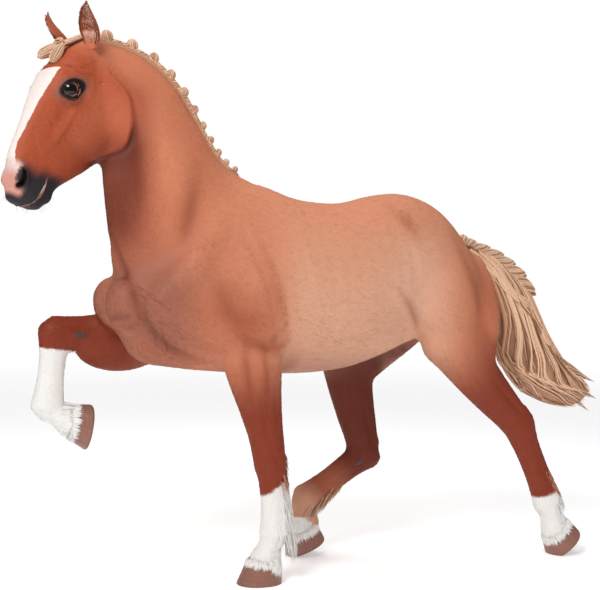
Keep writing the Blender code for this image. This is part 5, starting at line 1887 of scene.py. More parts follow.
def lashes(eye, rng):
    """Upper lashes that sweep out and down, and a few fine lower ones."""
    paths = []
    for edge, count, length, rise in LASHES:
        for _ in range(count):
            share = rng.uniform(-0.86, 0.80)
            x = share * EYE_HALF_LENGTH
            upper, lower = eye.edge(np.array([x]))
            y = float((upper if edge > 0 else lower)[0]) + edge * 0.0006
            z = math.sqrt(max((LID - 0.0006) ** 2 - x * x - y * y, 1e-5))
            root = eye.centre + x * eye.slit + y * eye.above + z * eye.gaze
            out = unit(eye.gaze * 0.9 + eye.above * rise * edge + eye.slit * share * 0.6)
            here = length * rng.uniform(0.7, 1.1)
            path = [root + out * here * t + eye.above * edge * 0.35 * here * t * t * (1 if edge > 0 else 0.4)
                    for t in np.linspace(0, 1, 5)]
            paths.append(path)
    paths = np.array(paths)
    width = np.tile(0.00055 * taper(5, 1.0, 0.2), (len(paths), 1))
    across = np.tile(eye.slit, (len(paths), 5, 1))
    colours = np.tile(np.array((0.030, 0.014, 0.010)), (len(paths), 1))
    return locks("lashes_" + eye.label, paths, width, width, across, colours, sides=3)


# ---------------------------------------------------------------- mouth and nose details
TEETH_INSET = 0.012  # behind the front of the lips


def teeth():
    """A pale sliver of the front teeth, inside the parting of the lips."""
    line = mouth_line()
    middle = line[(np.abs(np.linspace(-1, 1, len(line))) < 0.84)]
    points = []
    for d, o, left in middle:
        towards = -0.0085 * np.sign(left) * min(1.0, abs(left) / 0.02)
        points.append((d - TEETH_INSET * (1 - abs(left) / 0.08), o + 0.001, left + towards))
    path = head_line(points)
    return tube("teeth", path, 0.0052, (0.78, 0.70, 0.56), closed=False)


WHISKERS = 56


def whiskers(skin, triangles, rng):
    """Long feelers on the chin, lips and nostrils."""
    face = skin.face
    spots = smooth(face[:, 0], 0.47, 0.52) * smooth(face[:, 1], -0.02, -0.08) * near_head(skin.co)
    spots *= skin.cavity < 0.004
    roots, normals, _ = scatter(skin, triangles, spots, WHISKERS, rng)
    length = rng.uniform(0.012, 0.026, len(roots))
    steps = np.linspace(0, 1, 5)[None, :, None]
    down = np.array((0, 0, -1.0))
    bend = down * 0.35 + rng.normal(0, 0.12, (len(roots), 3))
    paths = roots[:, None] - normals[:, None] * 0.001 + length[:, None, None] * (
        normals[:, None] * steps + bend[:, None] * steps**2)
    width = np.tile(0.00034 * taper(5, 1.0, 0.3), (len(roots), 1))
    across = np.tile(np.cross(normals, down)[:, None], (1, 5, 1))
    colours = np.tile(np.array((0.10, 0.07, 0.06)), (len(roots), 1))
    return locks("whiskers", paths, width, width, across, colours, sides=3)


# ---------------------------------------------------------------- hooves
HOOF_ROWS = (
    # share of the height, reach to the toe, reach to the heel, half width
    (0.00, 0.055, 0.063, 0.056), (0.10, 0.0645, 0.0705, 0.0615), (0.50, 0.0785, 0.0765, 0.0685),
    (0.92, 0.0935, 0.0795, 0.0745), (1.00, 0.0918, 0.0758, 0.0718),
)
SOLE_RINGS = (
    # share of the hoof's outline, how deep in the hollow, tone, colour
    (0.93, 0.0, 0.9, HOOF), (0.86, 0.0006, 1.5, HOOF), (0.845, 0.0022, 1.9, HOOF), (0.80, 0.0050, 1.1, SOLE),
    (0.55, 0.0085, 1.0, SOLE), (0.30, 0.0095, 0.9, SOLE), (0.06, 0.0095, 0.9, SOLE),
)


def hoof_piece(name, leg):
    """A hoof with growth rings, a rounded top edge, and a hollow sole with its frog."""
    axis = (leg.sole - leg.coronet).normalized()
    left = Vector((1, 0, 0))
    toe = left.cross(axis).normalized()
    if toe.dot(leg.toe) < 0:
        toe.negate()
    height = (leg.sole - leg.coronet).length
    around = 72
    outline = spline(HOOF_ROWS, 9)
    turn = turns(around)
    rings = []
    colours = []
    rng = np.random.default_rng(SEED + 11)
    hair_lines = np.convolve(rng.normal(0, 1, around + 4), np.ones(3) / 3, "same")[2:-2]

    def ring(share, front, back, width, sink=0.0, tone=1.0, base=HOOF):
        middle = np.array(leg.coronet + axis * (share * height)) - np.array(axis) * sink
        c, s = np.cos(turn), np.sin(turn)
        power = 2 / 2.15
        reach = np.where(s > 0, front, back) * np.abs(s) ** power * np.sign(s)
        wide = width * np.abs(c) ** power * np.sign(c)
        rings.append(middle + np.array(toe) * reach[:, None] + np.array(left) * wide[:, None])
        shade = (1 + 0.06 * hair_lines) * tone
        colours.append(np.array(base) * shade[:, None])

    for share, front, back, width in outline:
        wave = 0.00025 * math.sin(share * 31) * (share > 0.05)
        tone = 1.0 + 0.035 * math.sin(share * 31 + 1.0)
        tone += 0.16 * float(smooth(share, 0.14, 0.0) - smooth(share, 0.80, 1.0))
        ring(share, front + wave, back + wave, width + wave, tone=tone)
    for shrink, sink, tone, base in SOLE_RINGS:
        ring(1.0, *(outline[-1][1:] * shrink), sink, tone, base)
    points = np.concatenate(rings)
    colour = np.concatenate(colours)
    rel = points - np.array(leg.sole)
    ahead = rel @ np.array(toe)
    wide = np.abs(rel @ np.array(left))
    deep = rel @ np.array(axis)
    on_sole = np.zeros(len(points), bool)
    on_sole[(len(outline) + 3) * around:] = True
    frog = smooth((0.020 - ahead) * 0.42, 0.0, 0.010) * smooth(wide, 0.21 * (0.030 - ahead) + 0.010, 0.003)
    cleft = smooth(wide, 0.005, 0.001) * smooth(ahead, 0.0, -0.02)
    rise = np.where(on_sole & (deep < 0), 0.0075 * frog - 0.004 * cleft * frog, 0)
    points += np.array(axis) * rise[:, None]
    points[:, 2] = np.maximum(points[:, 2], 0.0)
    obj = mesh_from("hoof_%s_horn" % name, points, closed_faces(len(rings), around))
    work = bmesh.new()
    work.from_mesh(obj.data)
    bmesh.ops.recalc_face_normals(work, faces=work.faces)
    work.to_mesh(obj.data)
    work.free()
    paint(obj, np.clip(colour, 0.01, 1))
    return obj


# ---------------------------------------------------------------- mane
PLAIT_RIBS = 15
PLAIT_CORE = (0.84, 0.90, 0.78)  # of the plait's size, along and out of the crest, and to the left
PLAIT_FULL = 0.90  # of the plait's size, how far its ribs stand from its middle


def button_locks(place, rng):
    """One rolled-up plait: a core with twisted ribs from its foot to its tip."""
    size = place.size
    steps = 9
    along, out = np.array(place.along), np.array(place.out)
    left = np.array(LEFT)
    centre = np.array(place.centre)
    lean = along * -0.12
    paths = []
    across = []
    for k in range(PLAIT_RIBS):
        path = []
        sideways = []
        for t in np.linspace(0.0, 1.0, steps):
            tilt = math.pi * (0.04 + 0.92 * t)
            turn = 2 * math.pi * k / PLAIT_RIBS + 0.9 * t + 0.10 * math.sin(9 * t + k)
            ring = math.sin(tilt)
            up = -math.cos(tilt)
            flat = along * math.cos(turn) * 0.92 + left * math.sin(turn) * 0.86
            path.append(centre + size * PLAIT_FULL * (flat * ring + out * up + lean * up))
            sideways.append(-along * math.sin(turn) + left * math.cos(turn))
        paths.append(path)
        across.append(sideways)
    paths = np.array(paths)
    profile = 0.35 + 0.65 * np.sin(np.linspace(0.12, 0.88, steps) * math.pi)
    width = np.tile(size * 0.140 * profile, (len(paths), 1))
    thick = np.tile(size * 0.150 * profile, (len(paths), 1))
    tone = mix(FLAXEN_DARK, FLAXEN_PALE, 0.25 + 0.75 * rng.random(len(paths)) ** 0.7)
    return paths, width, thick, np.array(across), tone


def mane_buttons(rng):
    """The plaits, each a piece of its own."""
    pieces = []
    for i, place in enumerate(plait_places()):
        paths, width, thick, across, tone = button_locks(place, rng)
        colours = along_shades(tone, paths.shape[1], 0.72, 1.05)
        obj = locks("plait_%02d_hair" % (i + 1), paths, width, thick, across, colours, sides=6)
        radii = [place.size * share for share in PLAIT_CORE]
        turn = Matrix((place.along, place.out, LEFT)).transposed()
        points, faces = ball(place.centre, radii, turn)
        core = mesh_from("core", [tuple(p) for p in points], [np.array(faces)])
        # the core, painted dark as painted shade between the ribs
        paint(core, FLAXEN_DARK)
        pieces.append(merged(obj, core))
    return pieces


def merged(first, second):
    """Two hair pieces as one mesh. The second lies under the first and takes patches along its own shape."""
    set_uv(second, unwrap(points_of(second.data)))
    name = first.name
    with bpy.context.temp_override(active_object=first, selected_editable_objects=[first, second]):
        bpy.ops.object.join()
    first.name = name
    return first


def sink(core, depth):
    """Moves the form under a piece's hair inwards."""
    co = np.array([tuple(v.co - v.normal * depth) for v in core.data.vertices])
    core.data.vertices.foreach_set("co", co.astype(np.float32).ravel())


def crest_hair(rng):
    """The strip that the plaits grow from: short locks that cross the crest slantwise, over a core."""
    count = 340
    steps = 8
    shares = np.sort(rng.uniform(0.0, 1.0, count))
    line = crest_line(np.clip(shares, 0, 1))
    paths = np.zeros((count, steps, 3))
    across = np.zeros((count, steps, 3))
    width = np.zeros((count, steps))
    left = np.array(LEFT)
    for i, (point, along, out) in enumerate(line):
        along, out = np.array(along), np.array(out)
        full = crest_taper(shares[i])
        side = 1 if i % 2 else -1
        slant = rng.uniform(0.012, 0.028) * (1 if rng.random() < 0.5 else -1)
        for k, t in enumerate(np.linspace(-0.45, 1.0, steps)):
            angle = t * math.pi * 0.52
            reach = (0.0165 * full + 0.004) * math.sin(angle) * side
            rise = (0.0168 * full) * math.cos(angle) - 0.0005 + rng.normal(0, 0.0004)
            paths[i, k] = np.array(point) + out * rise + left * reach + along * slant * t
            across[i, k] = along
        width[i] = 0.0042 * full * taper(steps, 0.8, 0.35)
    tone = shades(rng, count, FLAXEN_DARK, FLAXEN, FLAXEN_PALE)
    colours = along_shades(tone, steps, 0.75, 1.10)
    return locks("mane_crest_hair", paths, width, width * 0.55, across, colours)


def crest_core():
    """The form under the crest's hair, painted darker as painted shade between its locks."""
    core = join([mane_crest()], "core")
    paint(core, np.array(FLAXEN) * 0.7)
    return core


# ---------------------------------------------------------------- forelock
def surface_lines(points, reach, lines, steps, rng):
    """Locks that run along a tapered form, side by side round it, from its start to its end."""
    path = spline(points, 8)
    line = head_line(path)
    t = np.linspace(0, 1, steps)
    whole = np.linspace(0, 1, len(line))
    line = np.stack([np.interp(t, whole, line[:, k]) for k in range(3)], 1)
    along = unit(np.gradient(line, axis=0))
    left = np.array(HEAD.left)
    ahead = unit(np.cross(along, left))
    made = []
    high, wide = reach
    leaf = np.interp(t, (0.0, 0.30, 0.62, 0.88, 1.0), (0.45, 0.90, 1.0, 0.72, 0.12))
    for i in range(lines):
        turn = 2 * math.pi * (i + 0.3 * rng.uniform(-1, 1)) / lines
        made.append(line + ahead * (high * leaf * math.cos(turn))[:, None]
                    + left * (wide * leaf * math.sin(turn))[:, None])
    return made


def forelock_hair(rng):
    """The braid from between the ears, its knot, and the leaf-shaped loops on the forehead."""
    steps = 9
    t = np.linspace(0, 1, steps)
    out, left, down = (np.array(v) for v in (HEAD.out, HEAD.left, HEAD.down))
    groups = []
    path = spline(FORELOCK_BRAID, 7)
    line = head_line(path)
    along = unit(np.gradient(line, axis=0))
    for i in range(len(line) - 1):
        for side in (1, -1):
            for k in range(4):
                base = line[i] + along[i] * ((k - 1.5) * 0.0030)
                rise = -0.004 + 0.017 * np.sin(t * math.pi * 0.60)
                groups.append((base + along[i] * (0.016 * t)[:, None] + out * rise[:, None]
                               + left * (side * 0.019 * (1 - t) ** 1.2 - side * 0.002)[:, None], 0.0026))
    for leaf, high, wide in FORELOCK_LEAVES:
        for made in surface_lines(leaf, (high * 1.02, wide * 1.02), 26, steps, rng):
            groups.append((made, 0.0023))
    knot = np.array(HEAD(0.044, 0.036, -0.004))
    for k in range(12):
        turn = np.linspace(0, math.pi * 1.5, steps) + k * 0.45
        lift = 0.012 + 0.006 * np.sin(turn * 0.7)
        groups.append((knot + left * (0.019 * np.cos(turn))[:, None] + out * lift[:, None]
                       + down * (0.014 * np.sin(turn) + 0.0012 * (k - 6))[:, None], 0.0027))
    paths = np.array([g[0] for g in groups])
    width = np.array([g[1] * taper(steps, 0.8, 0.35) for g in groups])
    across = np.cross(unit(np.gradient(paths, axis=1)), unit(paths - paths.mean((0, 1)) + out * 0.02))
    tone = mix(FLAXEN_DARK, FLAXEN_PALE, 0.15 + 0.85 * rng.random(len(paths)) ** 0.6)
    obj = locks("forelock_hair", paths, width, width * 0.8, across, along_shades(tone, steps, 0.80, 1.05))
    core = fused(forelock_masses(HEAD), 0.008, "core")
    sink(core, 0.0045)
    # the core, painted dark as painted shade between the locks
    paint(core, FLAXEN_DARK)
    return merged(obj, core)


# ---------------------------------------------------------------- tail
class TailForm:
    """The fall of the tail: a place for each share of its length and each way round it."""

    def __init__(self):
        rows = [[*at(a[0], 0, a[1]), *at(b[0], 0, b[1]), width] for a, b, width in TAIL]
        self.rings = spline(rows, 8)
        self.shares = np.linspace(0, 1, len(self.rings))

    def at(self, share, angle, grow=1.0):
        """Points on the tail's outside; angle 0 is the upper edge and a half turn the lower one."""
        ring = np.stack([np.interp(share, self.shares, self.rings[:, k]) for k in range(7)], -1)
        top, bottom, width = ring[..., :3], ring[..., 3:6], ring[..., 6]
        middle = (top + bottom) / 2
        reach = (top - bottom) / 2
        return (middle + reach * (grow * np.cos(angle))[..., None]
                + np.array((1.0, 0, 0)) * (width * grow * np.sin(angle))[..., None])


TAIL_LOCKS = 430
TIP_LOCKS = 46  # in each pointed end
BRAID_STEPS = 7


def tail_locks(form, rng):
    """Long wavy locks down the tail, in several layers, that end at different lengths."""
    steps = 22
    count = TAIL_LOCKS
    angle0 = rng.uniform(-math.pi, math.pi, count)
    start = np.clip(rng.beta(1.0, 2.4, count) * 0.62, 0, 0.6)
    end = np.clip(start + rng.uniform(0.35, 0.75, count), 0.5, 1.0)
    end = np.where(rng.random(count) < 0.45, rng.uniform(0.92, 1.0, count), end)
    t = np.linspace(0, 1, steps)
    share = start[:, None] + (end - start)[:, None] * t
    group = np.round(angle0 * 4) / 4
    wave = np.sin(share * 13 + group[:, None] * 3.1) * 0.36 + np.sin(share * 29 + group[:, None] * 7.7) * 0.10
    drift = rng.uniform(-0.15, 0.15, count)[:, None] * t
    angle = angle0[:, None] + wave * (0.30 + 2.4 * t * (1 - t)) + drift
    grow = rng.uniform(0.80, 1.02, count)[:, None] + 0.035 * np.sin(share * 21 + angle0[:, None] * 5)
    grow = grow - 0.10 * t**4
    thin = rng.random(count) < 0.30  # dark locks that part the pale ones, as painted shade between them
    width = (rng.uniform(0.0056, 0.0112, count) * np.where(thin, 0.42, 1.0))[:, None]
    width = width * taper(steps, 0.6, 0.05, 0.25)
    paths = form.at(share, angle, grow + 0.02 * thin[:, None])
    across = form.at(share, angle + 0.05, grow) - paths
    tone = mix(FLAXEN, FLAXEN_PALE, rng.random(count))
    tone = mix(tone, FLAXEN_DARK, 0.85 * thin)
    # painted shade on the locks that lie deeper inside the tail
    deep = smooth(grow.mean(1), 0.88, 0.80)
    tone = mix(tone, np.array(FLAXEN_DARK) * 0.8, 0.6 * deep)
    return paths, width, width * 0.55, across, along_shades(tone, steps, 0.92, 1.02)


def tip_locks(rng):
    """The pointed ends of the tail, where locks gather."""
    steps = 22
    paths, widths, tones = [], [], []
    t = np.linspace(0, 1, steps)
    for start, end, thick in TAIL_TIPS:
        a, b = np.array(at(*start)), np.array(at(*end))
        away = unit(b - a)
        side = unit(np.cross(away, (1.0, 0, 0)))
        back = a - away * 0.16 + np.array((0, -0.02, 0.05))
        for _ in range(TIP_LOCKS):
            turn = rng.uniform(0, 2 * math.pi)
            spread = thick * 1.04 * math.sqrt(rng.uniform(0.15, 1.0))
            closing = (1 - t) ** 0.8
            wave = 0.008 * np.sin(t * 9 + turn * 2) * np.sin(math.pi * t)
            short = rng.uniform(0.80, 1.0)
            line = back + (b - back) * (t * short)[:, None]
            line[:, 2] -= 0.020 * np.sin(math.pi * t)  # it sags
            line += side * (spread * math.cos(turn) * closing + wave)[:, None]
            line[:, 0] += spread * math.sin(turn) * closing
            paths.append(line)
            widths.append(rng.uniform(0.0045, 0.0080) * taper(steps, 0.6, 0.05, 0.3))
            tones.append(rng.random())
    paths = np.array(paths)
    width = np.array(widths)
    across = np.tile(np.array((1.0, 0, 0.1)), (*paths.shape[:2], 1))
    tone = mix(FLAXEN_DARK, FLAXEN_PALE, np.array(tones) ** 0.7)
    return paths, width, width * 0.6, across, along_shades(tone, steps, 0.80, 1.02)


def braid_locks(form, rng):
    """The plaited top of the tail: overlapping leaves that meet along its upper edge."""
    paths, widths, across, tones = [], [], [], []
    steps = 22
    t = np.linspace(0, 1, steps)
    for k in range(BRAID_STEPS):
        for side in (1, -1):
            tip_share = 0.085 + 0.060 * k + (0.014 if side < 0 else 0)
            for i in range(9):
                s = (i + 0.5) / 9 * 2 - 1
                leaf = np.sin(math.pi * np.clip(t * 0.86 + 0.06, 0, 1)) ** 0.7
                share = tip_share - 0.105 * t + s * 0.034 * leaf
                angle = side * (0.04 + 1.05 * t) + s * 0.05
                high = 1.04 + 0.44 * (1 - t) ** 1.7 + 0.10 * leaf * math.sqrt(1 - s * s)
                high = high * (1 - 0.20 * k / BRAID_STEPS)
                line = form.at(np.clip(share, 0.022, 1), angle, high)
                paths.append(line)
                widths.append(0.0056 * taper(steps, 0.8, 0.3, 0.3))
                across.append(np.gradient(form.at(np.clip(share + 0.02, 0, 1), angle, high), axis=0))
                tones.append(0.25 if i % 4 == 3 else rng.uniform(0.70, 1.0))
    paths = np.array(paths)
    width = np.array(widths)
    way = unit(np.gradient(paths, axis=1))
    outward = unit(paths - form.at(np.full(paths.shape[:2], 0.25), np.zeros(paths.shape[:2]), 0.0))
    tone = mix(FLAXEN_DARK, FLAXEN_PALE, np.array(tones))
    return paths, width, width * 0.6, np.cross(way, outward), along_shades(tone, steps, 1.05, 0.80)


def tail_hair(rng):
    form = TailForm()
    groups = [tail_locks(form, rng), tip_locks(rng), braid_locks(form, rng)]
    paths, width, thick, across, tone = (np.concatenate([g[k] for g in groups]) for k in range(5))
    obj = locks("tail_hair", paths, width, thick, across, tone)
    core = fused([tail_mass()], VOXEL, "core")
    relax(core.data, 10, 3)
    sink(core, 0.014)
    # the core, darker than the locks, as painted shade between them
    paint(core, mix(FLAXEN_DARK, FLAXEN, 0.50))
    return merged(obj, core)


# ---------------------------------------------------------------- feathers on the legs
def outer_hit(tree, middle, way, reach):
    """Where a ray that comes back towards the middle from outside meets a surface, or None."""
    place = tree.ray_cast(Vector(middle + way * reach), Vector(-way), reach)[0]
    return None if place is None else np.array(place)


FEATHERS = {
    # locks, where they start and end down the lower bone, their length, and how far they stand out
    "fore_left": (560, 0.10, 1.04, 0.135, 0.74),
    "fore_right": (0, 0.60, 0.95, 0.024, 0.25),
    "hind_left": (360, 0.60, 1.02, 0.080, 0.80),
    "hind_right": (260, 0.45, 1.04, 0.100, 0.50),
}
FEATHER_STEPS = 7
FLOOR_GAP = 0.0015  # that the hair keeps from the floor
FRINGE = 150  # locks in each row over the top of a hoof
FRINGE_ROWS = (
    # how far above the hoof's top edge a row starts, the length of its locks, and how far they flare
    (-0.002, 0.028, 0.16), (-0.012, 0.037, 0.20), (-0.024, 0.047, 0.22), (-0.036, 0.058, 0.22),
    (-0.050, 0.070, 0.20),
)


def over_hoof(line, middle, wall, hoof_tree):
    """Lifts the points of a lock that would run inside a hoof onto its wall."""
    for i, point in enumerate(line):
        level = middle + wall * ((point - middle) @ wall)
        away = np.linalg.norm(point - level)
        around = (point - level) / away
        hit = outer_hit(hoof_tree, level, around, 0.14)
        if hit is not None:
            line[i] = level + around * max(away, np.linalg.norm(hit - level) + 0.0012)
    return line


def feather_locks(name, leg, tree, rng):
    """Path, width and root of each long lock down the back of the lower leg and over the heel."""
    down, ahead, left = leg.lower_frame()
    count, first, last, length, stand = FEATHERS[name]
    t = np.linspace(0, 1, FEATHER_STEPS)
    drop = np.array((0, 0, -1.0))
    made = []
    for _ in range(count):
        share = first + (last - first) * rng.random() ** 0.75
        turn = rng.normal(0, 0.38)
        middle = np.array(leg.knee_or_hock.lerp(leg.fetlock, share))
        back = -ahead * math.cos(turn) + left * math.sin(turn)
        root = outer_hit(tree, middle, back, 0.12)
        if root is None:
            continue
        root = root - back * 0.002
        here = length * rng.uniform(0.60, 1.10) * (0.55 + 0.45 * smooth(share, first, first + 0.35))
        way = unit(down + back * stand * rng.uniform(0.3, 1.0) + drop * 0.25)
        fall = unit(down * 0.6 + drop * 0.8 - back * 0.10)
        line = root + here * (way * t[:, None] * 0.9 + (fall - way) * (t**2 * 0.45)[:, None])
        made.append((line, rng.uniform(0.0018, 0.0036) * taper(FEATHER_STEPS, 0.8, 0.06, 0.22), root))
    return made


def fringe_locks(name, leg, tree, hoof_tree, rng):
    """Path, width and root of each lock of the fringe that falls from the coronet over the hoof."""
    foot = unit(np.array(leg.coronet - leg.fetlock))
    wall = unit(np.array(leg.sole - leg.coronet))
    left = np.array(LEFT)
    toe = unit(np.cross(left, wall))
    if toe @ np.array(leg.toe) < 0:
        toe = -toe
    t = np.linspace(0, 1, FEATHER_STEPS)
    made = []
    for layer, (rise, reach, flare) in enumerate(FRINGE_ROWS):
        for k in range(FRINGE):
            turn = 2 * math.pi * (k + rng.uniform(-0.4, 0.4)) / FRINGE
            around = toe * math.cos(turn) + left * math.sin(turn)
            middle = np.array(leg.coronet) + foot * (rise + rng.uniform(-0.006, 0.006))
            root = outer_hit(tree, middle, around, 0.14)
            if root is None or np.linalg.norm(root - middle) > 0.062:
                continue
            root = root - around * 0.0015
            heel = 1.0 + 0.45 * (math.cos(turn) < -0.2) * (name == "fore_left")
            clump = k * 0.55 + layer  # the locks gather into points
            here = reach * (0.82 + 0.30 * abs(math.sin(clump))) * rng.uniform(0.85, 1.10) * heel
            way = unit(wall + around * flare)
            gather = np.cross(wall, around) * 0.16 * math.cos(clump)
            line = root + here * (way * t[:, None] - around * (0.26 * t**2)[:, None]
                                  + gather * (t**2)[:, None])
            line = over_hoof(line, np.array(leg.coronet), wall, hoof_tree)
            made.append((line, rng.uniform(0.0024, 0.0042) * taper(FEATHER_STEPS, 0.3, 0.06, 0.40), root))
    return made


def feather_hair(name, leg, tree, hoof_tree, rng):
    """The long hair of a leg's lower end, in the colours of the skin below it."""
    made = feather_locks(name, leg, tree, rng) + fringe_locks(name, leg, tree, hoof_tree, rng)
    paths, width, roots = (np.array(part) for part in zip(*made))
    paths[:, :, 2] = np.maximum(paths[:, :, 2], FLOOR_GAP)
    colours = hide_colour(roots)
    flax = smooth(colours[:, 0], 0.70, 0.45)
    warm = mix(np.clip(colours * 1.35, 0, 0.8), FLAXEN, 0.50)
    colours = mix(colours, warm, flax) * rng.uniform(0.90, 1.10, (len(roots), 1))
    if name == "hind_right":
        striped = mix(STRIPE_BROWN, FLAXEN_PALE, rng.random(len(roots)) ** 0.8)
        colours = mix(colours, striped, (np.arange(len(roots)) < FEATHERS[name][0]).astype(float))
    outward = unit(paths - np.array(leg.fetlock))
    across = np.cross(unit(np.gradient(paths, axis=1)), outward)
    colours = along_shades(colours, FEATHER_STEPS, 0.98, 1.06)
    return locks("feather_%s_hair" % name, paths, width, width * 0.6, across, colours, sides=4)


KNEE_TUFTS = 110


def knee_tufts(tree, rng):
    """Small tufts behind the standing foreleg's knee and forearm."""
    leg = LEGS["fore_left"]
    down, ahead, left = leg.lower_frame()
    steps = 6
    t = np.linspace(0, 1, steps)
    paths, widths, roots = [], [], []
    for _ in range(KNEE_TUFTS):
        share = rng.uniform(-0.15, 0.45)
        middle = np.array(leg.knee) + down * share * 0.28
        turn = rng.normal(0.1, 0.30)
        back = -ahead * math.cos(turn) + left * math.sin(turn)
        root = outer_hit(tree, middle, back, 0.14)
        if root is None:
            continue
        root = root - back * 0.002
        here = 0.046 * rng.uniform(0.6, 1.15)
        way = unit(down + back * rng.uniform(0.20, 0.60))
        paths.append(root + here * way * t[:, None] - back * (0.12 * here * t**2)[:, None])
        widths.append(rng.uniform(0.0014, 0.0026) * taper(steps, 0.8, 0.08, 0.3))
        roots.append(root)
    paths, width = np.array(paths), np.array(widths)
    colours = mix(hide_colour(np.array(roots)) * 1.2, FLAXEN, 0.25) * rng.uniform(0.85, 1.1, (len(roots), 1))
    across = np.tile(left, (*paths.shape[:2], 1))
    return locks("knee_tufts_hair", paths, width, width * 0.6, across, along_shades(colours, steps), sides=4)


# ---------------------------------------------------------------- ears
EAR_LOCKS = (("wall", 240), ("rim", 260))


def ear_hair(side, rng):
    """Pale hair inside an ear, from its walls towards the opening, and a dark fringe along its rim."""
    place = EarFrame(HEAD, side)
    up, open_to, across = (np.array(v) for v in (place.up, place.open_to, place.across))
    rows = np.array(EAR_ROWS)
    steps = 6
    t = np.linspace(0, 1, steps)
    paths, widths, tones = [], [], []
    for kind, count in EAR_LOCKS:
        for _ in range(count):
            share = rng.uniform(0.04, 0.90)
            wide, deep, thick, lean = (np.interp(share, rows[:, 0], rows[:, k]) for k in (1, 2, 3, 4))
            wide, deep = wide - thick, deep - thick
            if kind == "wall":
                edge = rng.uniform(-0.7, 0.7)
            else:
                edge = math.copysign(rng.uniform(0.92, 1.0), rng.uniform(-1, 1))
            angle = edge * math.pi / 2
            middle = np.array(place.middle(share, lean))
            root = middle + across * wide * math.sin(angle) - open_to * deep * math.cos(angle)
            inward = -across * math.sin(angle) + open_to * math.cos(angle)
            if kind == "wall":
                here = rng.uniform(0.010, 0.020) * (1 - 0.5 * share)
                way = unit(up * 0.75 + inward * 0.55 + open_to * 0.25)
                speckle = rng.random() < 0.08
                # pale hair of the ear's inside, lightened as painted light
                tones.append(mix(EAR_PALE_LIT, (0.130, 0.050, 0.036), 0.8 if speckle else 0.0))
            else:
                here = rng.uniform(0.004, 0.008)
                way = unit(up * 0.9 + across * math.sin(angle) * 0.25 + open_to * 0.30)
                tones.append(mix(RED_CHESTNUT, (0.18, 0.05, 0.03), rng.random()))
            paths.append(root + here * (way * t[:, None] + open_to * (0.15 * t**2)[:, None]))
            widths.append(rng.uniform(0.0010, 0.0018) * taper(steps, 0.8, 0.1, 0.3))
    paths, width = np.array(paths), np.array(widths)
    sideways = np.tile(across, (*paths.shape[:2], 1))
    return locks("ear_%s_hair" % ("left" if side > 0 else "right"), paths, width, width * 0.6, sideways,
                 along_shades(np.array(tones), steps, 0.9, 1.10), sides=3)


# ---------------------------------------------------------------- callosities
def callosity(name, centre, way, out, length, width, rng):
    """The flat horny growth on the inside of a leg."""
    rows, ring = 7, 22
    wide = np.cross(way, out)
    points = []
    for i in range(rows):
        r = 1 - (i / (rows - 1)) ** 1.6
        height = 0.0045 * (1 - r**3) + (-0.006 if i == 0 else 0)
        for k in range(ring):
            turn = 2 * math.pi * k / ring
            rough = 1 + 0.05 * math.sin(5 * turn + i) + rng.normal(0, 0.015)
            points.append(centre + way * length * r * rough * math.cos(turn)
                          + wide * width * r * rough * math.sin(turn)
                          + out * (height + rng.normal(0, 0.00025)))
    obj = mesh_from(name, np.array(points), closed_faces(rows, ring))
    paint(obj, np.array(CALLOUS) * rng.uniform(0.8, 1.2, (len(points), 1)))
    return obj


def callosities(tree, rng):
    """One on the inside of each forearm above the knee, and one below each hock."""
    made = []
    for name, leg in LEGS.items():
        if leg.fore:
            a, b, share, length = leg.elbow, leg.knee, 0.80, 0.026
        else:
            a, b, share, length = leg.hock, leg.fetlock, 0.16, 0.020
        place = np.array(a.lerp(b, share))
        way = unit(np.array(b - a))
        inner = np.array((-leg.side, 0.0, 0.0))
        hit = outer_hit(tree, place, inner, 0.12)
        if hit is not None:
            made.append(callosity("callosity_" + name, hit, way, inner, length, 0.010, rng))
    return made


# ---------------------------------------------------------------- short coat
COAT_PIECES = (
    # name, how many tufts, their length, width and lift
    ("coat_head", 15000, 0.0068, 0.0018, 0.0004),
    ("coat_neck", 16000, 0.0130, 0.0028, 0.0006),
    ("coat_trunk", 36000, 0.0150, 0.0032, 0.0006),
    ("coat_legs", 26000, 0.0100, 0.0022, 0.0006),
)


def coat_weights(skin, name):
    """How thickly each part's tufts grow: none on the lips, lids and inside of the ears."""
    face = skin.face
    f, left, u = body_places(skin.co).T
    head = near_head(skin.co) & (face[:, 1] > -0.345)
    legs = np.zeros(len(skin.co), bool)
    for leg in LEGS.values():
        place = LegPlace(leg, skin.co)
        legs |= place.on & ((place.upper > 0.35) | (place.lower > -0.02)) & (u < 0.98)
    neck = (f > 0.42) & (u > 1.0) & ~head & ~legs
    trunk = ~(head | neck | legs)
    where = {"coat_head": head, "coat_neck": neck, "coat_legs": legs, "coat_trunk": trunk}[name]
    weight = where * (1 - smooth(skin.cavity, 0.004, 0.012))
    bare = smooth(face[:, 0] + 0.5 * -face[:, 1], 0.545, 0.580) * near_head(skin.co)
    for side in (1, -1):
        eye = Eye(side)
        place = eye.place(skin.co)
        reach = np.sqrt((place[:, 0] / 1.30) ** 2 + place[:, 1] ** 2)
        bare = np.maximum(bare, smooth(reach, 0.034, 0.024) * (np.abs(place[:, 2]) < 0.06))
        inner = np.linalg.norm(face - (-0.04, 0.045, 0.100 * side), axis=1) < 0.11
        cup = np.array((HEAD(0, 1.0, 0.55 * side) - HEAD(0, 0)).normalized())
        bare = np.maximum(bare, inner * (skin.normal @ cup > 0.1) * (face[:, 0] < 0.0) * (face[:, 1] > 0.0))
    for leg in LEGS.values():
        below, gap = bone_share(skin.co, leg.coronet, leg.sole)
        bare = np.maximum(bare, (below > 0.02) * (gap < 0.09))
    return weight * (1 - bare)


